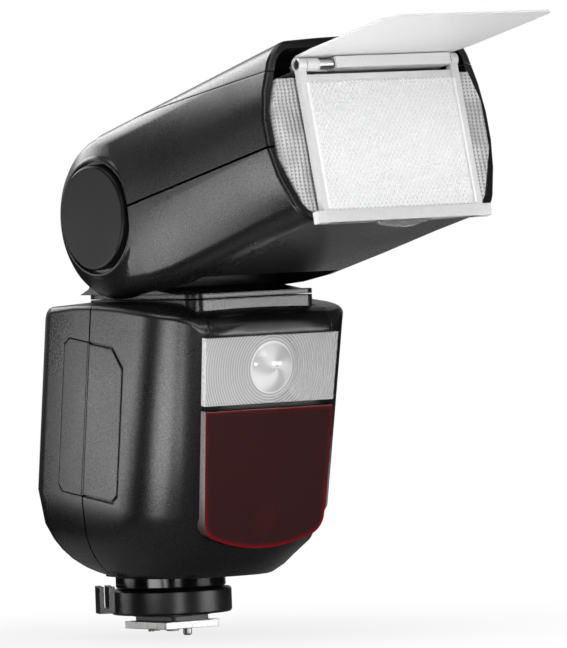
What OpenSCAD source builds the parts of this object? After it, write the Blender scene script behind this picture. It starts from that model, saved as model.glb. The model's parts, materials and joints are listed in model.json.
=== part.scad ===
// Speedlight flash on a hot-shoe foot, with a panning and tilting head.
// The origin is the centre of the foot's underside. The front faces -Y and +Z is up.
// The body leans forward over the foot, the swivel is level, and the head is pitched up.

/* [Hot-shoe foot] */
// Width of the foot plate across the shoe rails
foot_w = 18.6; // [18:0.1:19]
// Length of the foot plate along the shoe
foot_l = 18.6; // [18:0.1:20]
// Thickness of the foot plate
foot_t = 1.9; // [1.6:0.1:2.2]
// Width of the stem between the shoe rails
stem_w = 12.4; // [11:0.1:12.6]
// Height of the space for the shoe's rails, between the plate and the spindle
rail_space = 1.5; // [1.4:0.1:1.7]
// Height of the lock ring's underside above the plate
stem_h = 2.1; // [1.8:0.1:3]
// Radius of the spindle that the lock ring turns on
spindle_r = 10.8; // [10:0.1:12]
// Radius of the lock ring
ring_r = 16.5; // [15.5:0.1:18]
// Height of the lock ring
ring_h = 6.7; // [5:0.1:8]
// Reach of the lock lever beyond the ring
lever_reach = 4.2; // [3:0.1:6]
// Radius of the collar above the ring
collar_r = 15; // [14:0.1:16]
// Height of the collar
collar_h = 3.7; // [3:0.1:5]
// Diameter of the locking pin
lock_pin_d = 2.4; // [2:0.1:3]
// Drop of the locking pin below the plate
lock_pin_drop = 2; // [1.5:0.1:2.5]
// Distance of the locking pin in front of the centre contact
lock_pin_y = 6.8; // [6.2:0.1:7]
// Drop of the sprung contacts below the plate
contact_drop = 1; // [0.6:0.1:1.4]

/* [Body] */
// Width of the body
body_w = 65; // [62:0.5:70]
// Depth from the case seam to the front face
body_front = 38.5; // [37:0.5:42]
// Depth from the case seam to the rear face
body_rear = 25.5; // [25:0.5:29]
// Height of the top edge, along the body's own slanted axis
body_top = 91; // [90:0.1:92]
// Forward lean of the body over the foot, in degrees
body_lean = 7.5; // [6:0.1:8.5]
// Thickness of the case wall
wall = 2.2; // [1.8:0.1:2.6]
// Height at which the sides start to round in to the base
belly_top = 36.5; // [34:0.5:38]
// Radius of the flat base above the collar
base_r = 17; // [16.2:0.1:18.5]
// Corner radius at the front, seen from above, near the top
front_round = 17; // [14:0.5:19]
// Gain of that corner radius towards the base
round_gain = 15; // [8:0.5:18]
// Corner radius at the rear, seen from above
rear_round = 8; // [6:0.5:10]
// Edge radius along the sides of the top
edge_round = 1.4; // [1:0.1:2]
// Edge radius along the rear of the top
rear_edge = 3.2; // [2:0.1:4]
// Edge radius where the visor turns down to the lamp
nose_round = 5; // [3:0.1:6]

/* [Front panel] */
// Width of the lamp lens at its top edge
lamp_w = 45; // [42:0.5:46]
// Height of the lamp lens
lamp_h = 18.4; // [17:0.1:19.5]
// Height of the red window
window_h = 38; // [35:0.5:39]
// Width that the panel loses from the lamp's top to the window's foot
panel_taper = 5; // [2:0.1:7]
// Thickness of the lamp lens and the red window
panel_t = 4; // [3.4:0.1:4.4]
// Height of the bar between the lamp lens and the window
panel_bar = 1.4; // [1:0.1:2]
// Radius of the lamp's central dome
dome_r = 7.6; // [6.5:0.1:8]

/* [Sides and rear] */
// Length of the side panel, front to rear
side_l = 26.2; // [24:0.1:27]
// Height of the side panel
side_h = 41.6; // [39:0.1:43]
// Height of the side panel's lower edge
side_z = 38; // [37.5:0.1:39]
// Thickness of the port cover
cover_t = 1.5; // [1.2:0.1:1.7]
// Bore of the sync jack
jack_d = 2.5; // [2.5:0.1:3.5]
// Width of the display window
display_w = 46; // [42:0.5:48]
// Height of the display window
display_h = 27; // [24:0.5:28]
// Radius of the select dial
dial_r = 10.5; // [9.5:0.1:11]
// Height that the keys stand out of the rear face
key_rise = 1.2; // [0.8:0.1:1.6]
// Travel of a key
key_travel = 0.7; // [0.5:0.1:0.9]

/* [Swivel] */
// Width of the swivel base and the yoke flange
swivel_w = 42.6; // [40:0.2:43]
// Reach of the flange in front of the swivel axis
swivel_front = 31; // [28:0.5:31]
// Reach of the flange behind the swivel axis
swivel_rear = 19.4; // [18:0.2:20]
// Height of the swivel base's top face above the foot
swivel_top = 89.9; // [89.6:0.1:90.4]
// Thickness of the yoke flange
flange_t = 1.3; // [1:0.1:1.5]
// Radius of the swivel spindle
swivel_r = 9; // [8:0.1:10]

/* [Head] */
// Distance of the tilt axis in front of the foot's centre
hub_y = 11.4; // [10:0.1:12]
// Height of the tilt axis above the foot
hub_z = 112.6; // [112.4:0.1:114]
// Pitch of the head at rest, in degrees
head_pitch = 13; // [6:0.5:30]
// Length from the tilt axis to the front rim
head_len = 91.5; // [90:0.5:98]
// Width of the head at its front rim
head_front_w = 76; // [74:0.2:78]
// Width of the head at the tilt axis
head_rear_w = 57; // [56.4:0.2:58]
// Height of the front rim's top above the tilt axis
head_front_top = 25.5; // [25:0.1:27]
// Depth of the front rim's underside below the tilt axis
head_front_low = 22.9; // [22.4:0.1:23.4]
// Extra depth of the underside in front of the swivel
head_sag = 2.4; // [1.6:0.1:2.6]
// Bulge of the head's sides at the front rim
side_bulge = 6.5; // [3:0.1:7]
// Thickness of the head's walls
head_wall = 2; // [1.6:0.1:2.2]
// Radius of the round ears that the head turns on
ear_r = 22.3; // [22:0.1:22.5]
// Radius of the yoke's drum between the ears
drum_r = 19; // [18:0.1:19.2]
// Radius of the tilt axle
axle_r = 4; // [3:0.1:5]
// Radius of the hub caps
cap_r = 14.2; // [13.4:0.1:14.4]
// Face of the hub caps, from the centre plane
cap_x = 31; // [30.8:0.1:32]

/* [Flash optics] */
// Half height of the flash reflector's mouth
mirror_h = 14.5; // [12:0.1:14.8]
// Width of the flash reflector
mirror_w = 48; // [42:0.5:50]
// Travel of the zoom carriage each way
zoom_travel = 10; // [6:0.5:11]
// Radius of the flash tube
tube_r = 2.2; // [1.6:0.1:2.4]
// Width of the hanging wide panel
panel_w = 53.4; // [50:0.2:54]
// Thickness of the wide panel
panel_plate = 1.5; // [1.2:0.1:1.6]
// Width of the wide panel's lower rail
rail_w = 58; // [55:0.5:60]
// Width of the bounce card
card_w = 54.6; // [50:0.2:54.8]
// Length of the bounce card in front of the rim
card_out = 45; // [36:0.5:46]

/* [Clearances] */
// Gap between pieces that move past each other
gap = 0.3; // [0.25:0.01:0.35]
// Gap at a seam between fixed pieces
seam = 0.2; // [0.1:0.01:0.25]
// Radial clearance of a shaft in its bore
shaft_gap = 0.05; // [0.03:0.01:0.08]
// Gap where one fixed piece sits on another
seat = 0.02; // [0.01:0.01:0.05]

/* [Hidden] */
$fn = 64;
big = 300;

ring_z = foot_t + stem_h;
collar_z = ring_z + ring_h + gap / 2;
base_top = collar_z + collar_h;
base_z = base_top * cos(body_lean);
base_y = base_top * sin(body_lean);
side_belly = 1.85;
nose_belly = 2;
crown_y = -22;
crown_r = 200;
crown_dome = 1.2;
floor_z = base_z + 4.4;

lamp_top = body_top - 5.6;
lamp_z = lamp_top - lamp_h / 2 + 0.5;
window_top = lamp_top - lamp_h - panel_bar;
window_low = window_top - window_h;
window_round = 6;
assist_z = window_low + 7.8;
assist_board = 9.6;
panel_face = body_front + 0.1;
ring_step = 0.8;

side_front = -15.3;
side_rear = side_front + side_l;
side_chamfer = 5;
side_round = 2;
groove = 0.6;
jack_z = side_z + 30;
port_z = side_z + 15;
port_y = (side_rear + seam) / 2;
battery_x = -6;
battery_y = side_l / 2 + side_front;
battery_inset = 1.4;
battery_w = side_l - 2 * battery_inset;
battery_low = side_z + battery_inset;
battery_h = side_h - side_chamfer - 2 * gap;
battery_neck = 0.5;

display_z = body_top - 10.2 - display_h / 2;
key_z = display_z - display_h / 2 - 4.6;
dial_z = key_z - 16.4;
board_t = 1.6;
board_y = body_rear - wall - 5.6;
inner_rear = body_rear - wall;
inner_front = body_front - wall;

flange_z = swivel_top + gap;
flange_top = flange_z + flange_t;
swivel_low = 82;
retainer_t = 3.4;

slope_seam = 1.4;
ear_in = swivel_w / 2 + 0.4;
drum_gap = 0.5;
drum_x = ear_in - 0.1;
ear_face = cap_x - 1.4;
cap_seat = ear_face - 1.4;
cap_groove = 1;
recess_a = swivel_front + 2.5;
recess_up = -(hub_z - flange_top) + 2.8;
cavity_a = drum_r + 5;
deck_up = 15.9;
deck_t = 1.2;
sag_a = 26;
cover_front_up = 17.8;
cover_tip_a = 12;
cover_tip_up = head_top(cover_tip_a) + 0.3;

lens_a = head_len - 3;
lens_t = 2.4;
hinge_a = head_len + 1.5;
hinge_up = 18.7;
hinge_pin_r = 1.3;
arm_w = 2.4;
panel_a = head_len + 0.5;
panel_low = -(head_front_low - 2);
card_up = 20.9;
card_t = 0.5;
mirror_a = 52;
mirror_focus = 7;
mirror_t = 0.6;
tube_a = mirror_focus * 0.7;
rod_up = -17.4;
rod_x = 20;
rod_r = 1.25;
screw_r = 1.5;
motor_r = 3.8;
motor_l = 11.5;
carriage_t = 2.8;

shell_grey = "#2b2c2e";
satin_black = "#1a1a1b";
gloss_black = "#0c0c0d";
bright_metal = "#c9c9c6";
clear = "#dfe6e8";
red = "#4a0a10";
white = "#ececea";
board_green = "#24523a";

function mix(a, b, t) = a + (b - a) * t;
function ease(t) = let (c = min(max(t, 0), 1)) c * c * (3 - 2 * c);
function arc(cx, cy, r, from, n) = [
    for (i = [0:n]) [cx + r * cos(from + 90 * i / n), cy + r * sin(from + 90 * i / n)]
];
function between(a, b, n) = [for (i = [1:n]) mix(a, b, i / (n + 1))];

// Rounded outline, counter-clockwise, with one radius at its low side and one at its high side.
function outline(hw, lo, hi, r_lo, r_hi, n, m) =
    let (
        hi_r = arc(hw - r_hi, hi - r_hi, r_hi, 0, n),
        hi_l = arc(r_hi - hw, hi - r_hi, r_hi, 90, n),
        lo_l = arc(r_lo - hw, lo + r_lo, r_lo, 180, n),
        lo_r = arc(hw - r_lo, lo + r_lo, r_lo, 270, n)
    )
    concat(
        hi_r, between(hi_r[n], hi_l[0], m), hi_l, between(hi_l[n], lo_l[0], m),
        lo_l, between(lo_l[n], lo_r[0], m), lo_r, between(lo_r[n], hi_r[0], m)
    );

// Closed solid through a stack of rings that all have the same number of points.
module loft(rings) {
    n = len(rings[0]);
    last = len(rings) - 1;
    sides = [
        for (k = [0:last - 1], i = [0:n - 1])
            let (j = (i + 1) % n, a = k * n, b = (k + 1) * n)
            each [[a + i, b + i, b + j], [a + i, b + j, a + j]]
    ];
    foot = [[for (i = [0:n - 1]) i]];
    lid = [[for (i = [0:n - 1]) last * n + n - 1 - i]];
    polyhedron([for (ring = rings) each ring], concat(foot, sides, lid));
}

// One moulding: the lofted form and all its cuts become a single surface.
module moulding() {
    minkowski() {
        children();
    }
}

module lean() {
    rotate([body_lean, 0, 0]) children();
}

module at_head() {
    translate([0, -hub_y, hub_z]) rotate([-head_pitch, 0, 0]) children();
}

// Places on the leaning body, with the local Z axis pointing out of the case.
module on_front(x, z, depth) {
    translate([x, -depth, z]) rotate([90, 0, 0]) children();
}

module on_rear(x, z, depth) {
    translate([x, depth, z]) rotate([-90, 0, 0]) children();
}

module on_left(y, z, depth) {
    translate([-depth, y, z]) rotate([0, -90, 0]) children();
}

module on_right(y, z, depth) {
    translate([depth, y, z]) rotate([0, 90, 0]) children();
}

module round_rect(w, h, r) {
    square([w - 2 * r, h], center = true);
    square([w, h - 2 * r], center = true);
    for (x = [-1, 1], y = [-1, 1])
        translate([x * (w / 2 - r), y * (h / 2 - r)]) circle(r);
}

module pill(w, h, r, t) {
    linear_extrude(t) round_rect(w, h, r);
}

// Share of the way from the full body (0) to the round base (1) at a height.
function belly(z, power) =
    let (d = min(max((belly_top - z) / (belly_top - base_z), 0), 1)) 1 - pow(1 - pow(d, power), 1 / power);

function crown(p, w) =
    body_top - pow(p.y - crown_y, 2) / (2 * crown_r) + crown_dome * (1 - pow(2 * p.x / body_w, 2)) - w;

function plan(z, w, side_cut, nose_cut, rear_cut, n, m) =
    let (
        side = belly(z, side_belly),
        nose = belly(z, nose_belly),
        hw = mix(body_w / 2, base_r, side) - w - side_cut,
        lo = w + nose_cut - mix(body_front, base_r - base_y, nose),
        hi = mix(body_rear, base_r + base_y, side) - w - rear_cut,
        drop = max((body_top - 10 - z) / (body_top - 10 - base_z), 0),
        r_lo = min(front_round + round_gain * pow(drop, 3) - w - nose_cut, 0.92 * hw),
        r_hi = min(mix(rear_round, base_r, side) - w - rear_cut, 0.92 * hw)
    )
    outline(hw, lo, hi, r_lo, r_hi, n, m);

function level(z, w, n, m) = [for (p = plan(z, w, 0, 0, 0, n, m)) [p.x, p.y, z]];

// Ring on the rounded top edge, at an angle from the wall (0) to the top face (90).
function brow(angle, w, n, m) =
    let (in = 1 - cos(angle), down = 1 - sin(angle))
    [
        for (p = plan(body_top, w, edge_round * in, nose_round * in, rear_edge * in, n, m))
            let (
                front = ease(-2 * p.y / body_front - 1) * ease((lamp_w / 2 + 6 - abs(p.x)) / 7),
                rear = ease(2 * p.y / body_rear - 1),
                r = mix(mix(edge_round, nose_round, front), rear_edge, rear)
            )
            [p.x, p.y, crown(p, w) - r * down]
    ];

function shrunk(ring, share, w) = [
    for (p = ring)
        let (q = [p.x * share, mix(crown_y, p.y, share)]) [q.x, q.y, crown(q, w)]
];

module body_form() {
    n = 7;
    m = 3;
    top = brow(90, 0, n, m);
    loft(concat(
        [level(base_z - 4, 0, n, m)],
        [for (d = [1, 0.97, 0.92, 0.84, 0.73, 0.6, 0.42, 0]) level(mix(belly_top, base_z, d), 0, n, m)],
        [for (angle = [0, 30, 60, 90]) brow(angle, 0, n, m)],
        [for (share = [0.8, 0.5, 0.05]) shrunk(top, share, 0)]
    ));
}

module body_cavity() {
    n = 3;
    m = 2;
    top = brow(90, wall, n, m);
    loft(concat(
        [for (d = [0, 0.3, 0.6, 0.8, 1]) level(mix(floor_z, belly_top, d), wall, n, m)],
        [brow(0, wall, n, m), top],
        [for (share = [0.5, 0.05]) shrunk(top, share, wall)]
    ));
}

module swivel_plan(extra) {
    points = outline(swivel_w / 2 + extra, -swivel_front - extra, swivel_rear + extra, 4, 7, 6, 0);
    translate([0, -hub_y]) polygon(points);
}

module body_shell() {
    intersection() {
        lean() body_form();
        translate([-big / 2, -big / 2, base_top]) cube(big);
    }
}

module swivel_hole() {
    translate([0, 0, swivel_low - 6]) linear_extrude(big) swivel_plan(seam / 2);
}

module lamp_shape(extra) {
    half = lamp_w / 2 + extra;
    slope = panel_taper / 2 / (lamp_h + panel_bar + window_h);
    low = half - slope * lamp_h;
    polygon([[-low, -lamp_h - extra], [low, -lamp_h - extra], [half, extra], [-half, extra]]);
}

module window_shape(extra) {
    slope = panel_taper / 2 / (lamp_h + panel_bar + window_h);
    half = lamp_w / 2 - slope * (lamp_h + panel_bar) + extra;
    low = half - slope * window_h;
    sag = 1.05 * lamp_w;
    shape = [[-low, -window_h - extra], [low, -window_h - extra], [half, extra], [-half, extra]];
    offset(r = window_round, $fn = 48) offset(delta = -window_round) intersection() {
        polygon(shape);
        translate([0, sag - window_h - extra]) circle(sag, $fn = 144);
    }
    intersection() {
        polygon(shape);
        translate([-big / 2, -window_h / 2]) square(big);
    }
}

module side_shape(extra) {
    front = side_front - extra;
    rear = side_rear + extra;
    low = -extra;
    high = side_h + extra;
    polygon([
        [low, front + side_round], [low + side_round, front],
        [high - side_chamfer, front], [high, front + side_chamfer],
        [high, rear - side_round], [high - side_round, rear],
        [low + side_round, rear], [low, rear - side_round]
    ]);
}

// Cut for a key cap in the rear wall.
module key_hole(x, z, w, h, r) {
    on_rear(x, z, body_rear - wall - 1) pill(w + 2 * gap, h + 2 * gap, r, 2 * wall + 2);
}

function_x = [-16.5, -5.5, 5.5, 16.5];
function_w = 8;
function_h = 4.2;
mode_x = 19;
mode_z = dial_z + 7;
test_x = -19;
test_z = dial_z + 5;
round_key_r = 3.6;
power_x = 18.4;
power_z = dial_z - 3;
power_w = 9;
power_h = 4.4;
power_travel = 1.5;
set_r = 4.6;
dial_bore_r = 5.2;
dial_tube_r = 6.4;
screw_x = 19;
screw_z = base_z + 9;
boss_r = 1.5;
board_w = 54;
boss_places = [[12.4, dial_z + 8.4], [board_w / 2 - 1.7, key_z + 9]];
screw_head_r = 2.2;

module rear_shell() {
    color(shell_grey) moulding() union() {
        difference() {
            intersection() {
                body_shell();
                lean() translate([-big / 2, seam / 2, -big / 2]) cube(big);
            }
            swivel_hole();
            lean() rear_cuts($fn = 20);
        }
        lean() intersection() {
            for (x = [-1, 1], p = boss_places) on_rear(x * p[0], p[1], board_y + board_t + seam / 2)
                cylinder(r = boss_r, h = wall + 5, $fn = 20);
            body_form();
        }
    }
}

module rear_cuts() {
    body_cavity();
    on_rear(0, display_z, body_rear - big / 2)
        pill(display_w + seam, display_h + seam, 2, big);
    for (x = function_x) key_hole(x, key_z, function_w, function_h, 1.5);
    on_rear(mode_x, mode_z, inner_rear - 1) cylinder(r = round_key_r + gap, h = big, $fn = 32);
    on_rear(test_x, test_z, inner_rear - 1) cylinder(r = round_key_r + gap, h = big, $fn = 32);
    on_rear(power_x, power_z, inner_rear - 1)
        pill(power_w - 3 + 2 * power_travel + gap, power_h - 1 + gap, 1, big);
    on_rear(0, dial_z, inner_rear - 1) cylinder(r = dial_tube_r + gap, h = big, $fn = 40);
    for (x = [-1, 1]) on_rear(x * screw_x, screw_z, body_rear - 4.4)
        cylinder(r = screw_head_r + seam, h = big, $fn = 24);
    port_recess();
    battery_hole();
}

module front_shell() {
    color(shell_grey) moulding() union() {
        difference() {
            intersection() {
                body_shell();
                lean() translate([-big / 2, -seam / 2 - big, -big / 2]) cube(big);
            }
            swivel_hole();
            lean() front_cuts($fn = 24);
        }
        lean() capacitor_shelf();
    }
}

module front_cuts() {
    body_cavity();
    on_front(0, lamp_top, inner_front / 2) linear_extrude(big) lamp_shape(seam / 2);
    on_front(0, window_top, inner_front / 2) linear_extrude(big) window_shape(seam / 2);
    visor_space(seam / 2);
    battery_hole();
    side_groove();
}

// Outline groove of the side panel's front half, stopped at the case seam.
module side_groove() {
    intersection() {
        on_left(0, side_z, body_w / 2 - groove) linear_extrude(big) difference() {
            side_shape(groove / 2);
            side_shape(-groove / 2);
        }
        translate([-big, -big, 0]) cube([big, big - seam, big]);
    }
}

visor_x = 20.7;

module visor_space(extra) {
    low = lamp_top + seam - 10 * extra;
    translate([-visor_x - extra, -big, low]) cube([2 * (visor_x + extra), big, big]);
}

module front_visor() {
    color(gloss_black) moulding() difference() {
        intersection() {
            lean() body_form();
            lean() visor_space(0);
        }
        swivel_hole();
        translate([-big / 2, -hub_y - swivel_front, 0]) cube(big);
        lean() body_cavity();
    }
}

cap_shelf_t = 2;
capacitor_r = 9.4;
capacitor_l = 40;
capacitor_y = panel_t - panel_face + gap + capacitor_r;
capacitor_z = assist_z + assist_board / 2 + gap + cap_shelf_t + seam / 2 + capacitor_r;

module capacitor_shelf() {
    shelf_z = capacitor_z - capacitor_r - cap_shelf_t - seam / 2;
    translate([0, 0, shelf_z]) linear_extrude(cap_shelf_t) intersection() {
        translate([-body_w / 2, capacitor_y - 8]) square([body_w, 16]);
        polygon(plan(belly_top, wall / 2, 0, 0, 0, 3, 0));
    }
}

module main_capacitor() {
    color("#23282f") lean() translate([-capacitor_l / 2, capacitor_y, capacitor_z]) rotate([0, 90, 0])
        rotate_extrude() polygon([
            [0, 0], [capacitor_r - 1, 0], [capacitor_r, 1], [capacitor_r, 4], [capacitor_r - 0.7, 5],
            [capacitor_r, 6], [capacitor_r, capacitor_l - 0.8], [capacitor_r - 0.8, capacitor_l],
            [0, capacitor_l]
        ]);
}

// Fresnel steps of the lamp lens, as one saw-toothed profile from the dome out to the corners.
function fresnel(from, step, count, depth) = concat(
    [[from, 1]],
    [for (i = [0:count - 1]) each [[from + i * step, -0.05], [from + (i + 1) * step, -depth]]],
    [[from + count * step, 1]]
);

module lamp_lens() {
    color(clear) lean() on_front(0, lamp_top, panel_face - panel_t) {
        difference() {
            linear_extrude(panel_t) lamp_shape(0);
            translate([0, lamp_z - lamp_top, panel_t])
                rotate_extrude() polygon(fresnel(dome_r + 0.5, ring_step, 20, 0.3));
        }
        translate([0, lamp_z - lamp_top, panel_t]) intersection() {
            translate([0, 0, 1 - dome_r * 2]) sphere(dome_r * 2);
            cylinder(r = dome_r - 0.5, h = 4);
        }
    }
}

mirror_cup_l = 8.6;

module lamp_reflector() {
    cup = 8.4;
    color(bright_metal) lean() on_front(0, lamp_z, panel_face - panel_t - seam) rotate([180, 0, 0])
        rotate_extrude() polygon([
            [cup, 0], [cup - 0.7, 0], [5.6, 3.4], [3.4, mirror_cup_l], [4.2, mirror_cup_l], [6.4, 3.6],
            [cup, 0.6]
        ]);
}

module modelling_led() {
    back = panel_face - panel_t - seam - mirror_cup_l - seam;
    color("#e8d98a") lean() on_front(0, lamp_z, back) {
        translate([0, 0, -1.4]) pill(13, 13, 1, 1.4);
        cylinder(r = 2.9, h = 1.2);
        translate([0, 0, 1.2]) intersection() {
            translate([0, 0, -3]) sphere(4);
            cylinder(r = 2.9, h = 3);
        }
    }
}

module red_window() {
    color(red) lean() on_front(0, window_top, panel_face - panel_t) linear_extrude(panel_t) window_shape(0);
}

module assist_lamp() {
    back = panel_face - panel_t - seam;
    color("#7a1015") lean() on_front(0, assist_z, back) rotate([180, 0, 0]) {
        difference() {
            cylinder(r = 4.4, h = 6);
            translate([0, 0, -1]) cylinder(r1 = 4.3, r2 = 2.2, h = 5);
        }
        translate([0, 0, 6]) pill(assist_board, assist_board, 1, 1.4);
    }
}

module cover_shape(extra, front) {
    intersection() {
        side_shape(extra);
        translate([-big / 2, front]) square(big);
    }
}

module port_recess() {
    on_left(0, side_z, body_w / 2 - cover_t - seam) linear_extrude(big) cover_shape(gap, -1);
    on_left(port_y, jack_z, inner_rear - 10) cylinder(r = jack_r + seam / 2, h = big, $fn = 32);
    on_left(port_y, port_z, inner_rear - 10) pill(port_w + seam, port_h + seam, 1.4, big);
}

// Flap over the ports. Its edge along the case seam is a round bead, and it turns about the bead's middle.
module port_cover() {
    bead_r = cover_t / 2;
    bead_y = gap - seam / 2 + bead_r;
    color(satin_black) lean() on_left(0, side_z, body_w / 2 - cover_t) {
        linear_extrude(cover_t) cover_shape(0, bead_y);
        translate([0, bead_y, bead_r]) rotate([0, 90, 0]) cylinder(r = bead_r, h = side_h);
    }
}

jack_l = 9;
jack_r = 3.6;
port_w = 10;
port_h = 4.2;
port_mouth = body_w / 2 - cover_t - seam - 0.1;

module sync_jack() {
    color(satin_black) lean() on_left(port_y, jack_z, port_mouth) rotate([180, 0, 0])
        difference() {
            union() {
                cylinder(r = jack_r, h = jack_l);
                translate([0, 0, 1.6]) pill(9, 8, 1, jack_l - 1.6);
            }
            translate([0, 0, -1]) cylinder(d = jack_d, h = jack_l - 1);
        }
}

module data_port() {
    color(bright_metal) lean() on_left(port_y, port_z, port_mouth) rotate([180, 0, 0]) {
        difference() {
            pill(port_w, port_h, 1.4, 7.5);
            translate([0, 0, -1]) pill(port_w - 1.1, port_h - 1, 1.2, 7);
        }
        translate([0, 0, 1]) linear_extrude(6) square([port_w - 3.4, 0.7], center = true);
    }
}

module battery_hole() {
    on_right(0, side_z, inner_rear) mirror([1, 0, 0]) linear_extrude(big) side_shape(gap);
    translate([battery_x, battery_y - battery_w / 2 - gap, battery_low - gap])
        cube([battery_end - battery_x + gap, battery_w + 2 * gap, battery_h + 2 * gap]);
}

battery_end = body_w / 2 - wall + battery_neck;
latch_y = battery_y;
latch_z = side_z + side_h - 4.6;
latch_w = 11;
latch_h = 4.6;

module battery_pack() {
    color(satin_black) lean() difference() {
        union() {
            on_right(0, side_z, body_w / 2 - wall) mirror([1, 0, 0]) linear_extrude(wall) side_shape(0);
            translate([battery_x, battery_y - battery_w / 2, battery_low])
                cube([battery_end - battery_x, battery_w, battery_h]);
        }
        on_right(latch_y, latch_z, body_w / 2 - wall - 1)
            linear_extrude(big) round_rect(latch_h + 2 * gap, latch_w + 2 * gap, 1.5);
        for (i = [0:3]) on_right(battery_y, battery_low + 6 + i * 7, body_w / 2 - 0.5)
            linear_extrude(1) square([1, battery_w - 8], center = true);
    }
}

module battery_latch() {
    depth = wall - 0.4;
    color(shell_grey) lean() on_right(latch_y, latch_z, body_w / 2 - depth)
        linear_extrude(depth + 0.8) round_rect(latch_h, latch_w, 1.5);
}

module battery_contacts() {
    reach = board_y - seam;
    color(bright_metal) lean() {
        translate([battery_x - 2.4 - gap, battery_y - 6, battery_low + 12])
            cube([2.4, reach - battery_y + 6, 16]);
        for (i = [0:2]) translate([battery_x - gap - 0.01, battery_y - 5 + i * 4, battery_low + 14])
            cube([0.2, 2, 12]);
    }
}

module display_window() {
    color(gloss_black) lean() on_rear(0, display_z, body_rear - wall + 0.4)
        pill(display_w, display_h, 2, wall - 0.5);
}

panel_back = board_y + board_t + 0.6;

module display_panel() {
    depth = inner_rear + 0.4 - seam - panel_back;
    color("#6f7f6a") lean() on_rear(0, display_z, panel_back)
        pill(display_w - 4, display_h - 4, 1, depth);
}

module main_board() {
    low = belly_top - 8;
    high = body_top - 13;
    color(board_green) lean() on_rear(0, (low + high) / 2, board_y)
        pill(board_w, high - low, 2, board_t);
}

// A key: its cap through the wall and a shoulder that keeps it in.
module key_cap(x, z, w, h, r) {
    lean() on_rear(x, z, inner_rear - gap - key_travel) {
        translate([0, 0, -0.8]) pill(w + 1.6, h + 1.6, r, 0.8 + key_travel);
        pill(w, h, r, wall + gap + key_travel + key_rise);
    }
}

module round_key(x, z) {
    lean() on_rear(x, z, inner_rear - gap - key_travel) {
        translate([0, 0, -0.8]) cylinder(r = round_key_r + 0.8, h = 0.8 + key_travel);
        cylinder(r = round_key_r, h = wall + gap + key_travel + key_rise);
    }
}

module function_key(i) {
    color(satin_black) key_cap(function_x[i], key_z, function_w, function_h, 1.5);
}

module mode_button() {
    color(satin_black) round_key(mode_x, mode_z);
}

module test_button() {
    color("#8d1f1f") round_key(test_x, test_z);
}

module power_switch() {
    color(satin_black) lean() on_rear(power_x, power_z, body_rear + gap) {
        pill(power_w, power_h, 1.5, key_rise);
        for (i = [-1:1]) translate([i * 1.6, 0, key_rise]) linear_extrude(0.5)
            square([0.6, power_h - 1.4], center = true);
        translate([0, 0, -wall - gap - 0.4]) pill(power_w - 3 - gap, power_h - 1 - gap, 1, wall + gap + 0.4);
    }
}

module select_dial() {
    ridges = 36;
    color(satin_black) lean() on_rear(0, dial_z, body_rear + gap) difference() {
        union() {
            rotate_extrude() polygon([
                [dial_bore_r, 0], [dial_r, 0], [dial_r, 1.2], [dial_r - 0.8, 1.9], [dial_bore_r, 1.9]
            ]);
            translate([0, 0, -wall - gap - 1]) difference() {
                cylinder(r = dial_tube_r, h = wall + gap + 1.1);
                translate([0, 0, -1]) cylinder(r = dial_bore_r, h = wall + gap + 4);
            }
        }
        for (i = [0:ridges - 1]) rotate(i * 360 / ridges)
            translate([dial_r, 0, -0.1]) cylinder(r = 0.3, h = 3, $fn = 12);
    }
}

module set_button() {
    color(satin_black) lean() on_rear(0, dial_z, inner_rear - 1 - key_travel - gap) {
        translate([0, 0, -0.8]) cylinder(r = dial_bore_r + 0.6, h = 0.8);
        cylinder(r = set_r, h = wall + 2 * gap + 1 + key_travel + 1.6);
    }
}

module case_screws() {
    color(bright_metal) lean() for (x = [-1, 1])
        on_rear(x * screw_x, screw_z, body_rear - 4.3) difference() {
            cylinder(r = screw_head_r, h = 1.6);
            translate([0, 0, 0.9]) for (turn = [0, 90]) rotate(turn)
                linear_extrude(2) square([2.6, 0.6], center = true);
        }
}

contact_r = 1.7;
contact_head_r = 2.3;
data_r = 0.8;
data_head_r = 1.1;
contact_step = foot_t + 0.5;
lock_shank_r = lock_pin_d / 2 + 0.2;
contact_top = ring_z + 3;
data_places = [[-4.6, 3.5], [-1.6, 4.8], [1.6, 4.8], [4.6, 3.5]];

module contact_bore(r, head_r) {
    translate([0, 0, -1]) cylinder(r = r + shaft_gap, h = big);
    translate([0, 0, contact_step]) cylinder(r = head_r + shaft_gap, h = big);
}

module contact(r, head_r) {
    translate([0, 0, -contact_drop]) cylinder(r = r, h = contact_top + contact_drop);
    translate([0, 0, contact_step]) cylinder(r = head_r, h = 1);
}

module foot_bores() {
    contact_bore(contact_r, contact_head_r);
    for (p = data_places) translate(p) contact_bore(data_r, data_head_r);
    translate([0, -lock_pin_y, -1]) cylinder(r = lock_shank_r + shaft_gap, h = big);
}

module foot_plate() {
    color(bright_metal) difference() {
        pill(foot_w, foot_l, 0.6, foot_t);
        foot_bores();
    }
}

module foot_stem() {
    color(satin_black) difference() {
        translate([0, 0, foot_t + seat]) pill(stem_w, foot_l - 1, 1, rail_space - 2 * seat);
        foot_bores();
    }
}

module foot_spindle() {
    spindle_z = foot_t + rail_space;
    color(satin_black) difference() {
        translate([0, 0, spindle_z]) cylinder(r = spindle_r, h = base_top - spindle_z - seam / 2);
        foot_bores();
    }
}

module sync_contact() {
    color("#d8c27a") contact(contact_r, contact_head_r);
}

module data_contacts() {
    color("#d8c27a") for (p = data_places) translate(p) contact(data_r, data_head_r);
}

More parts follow.
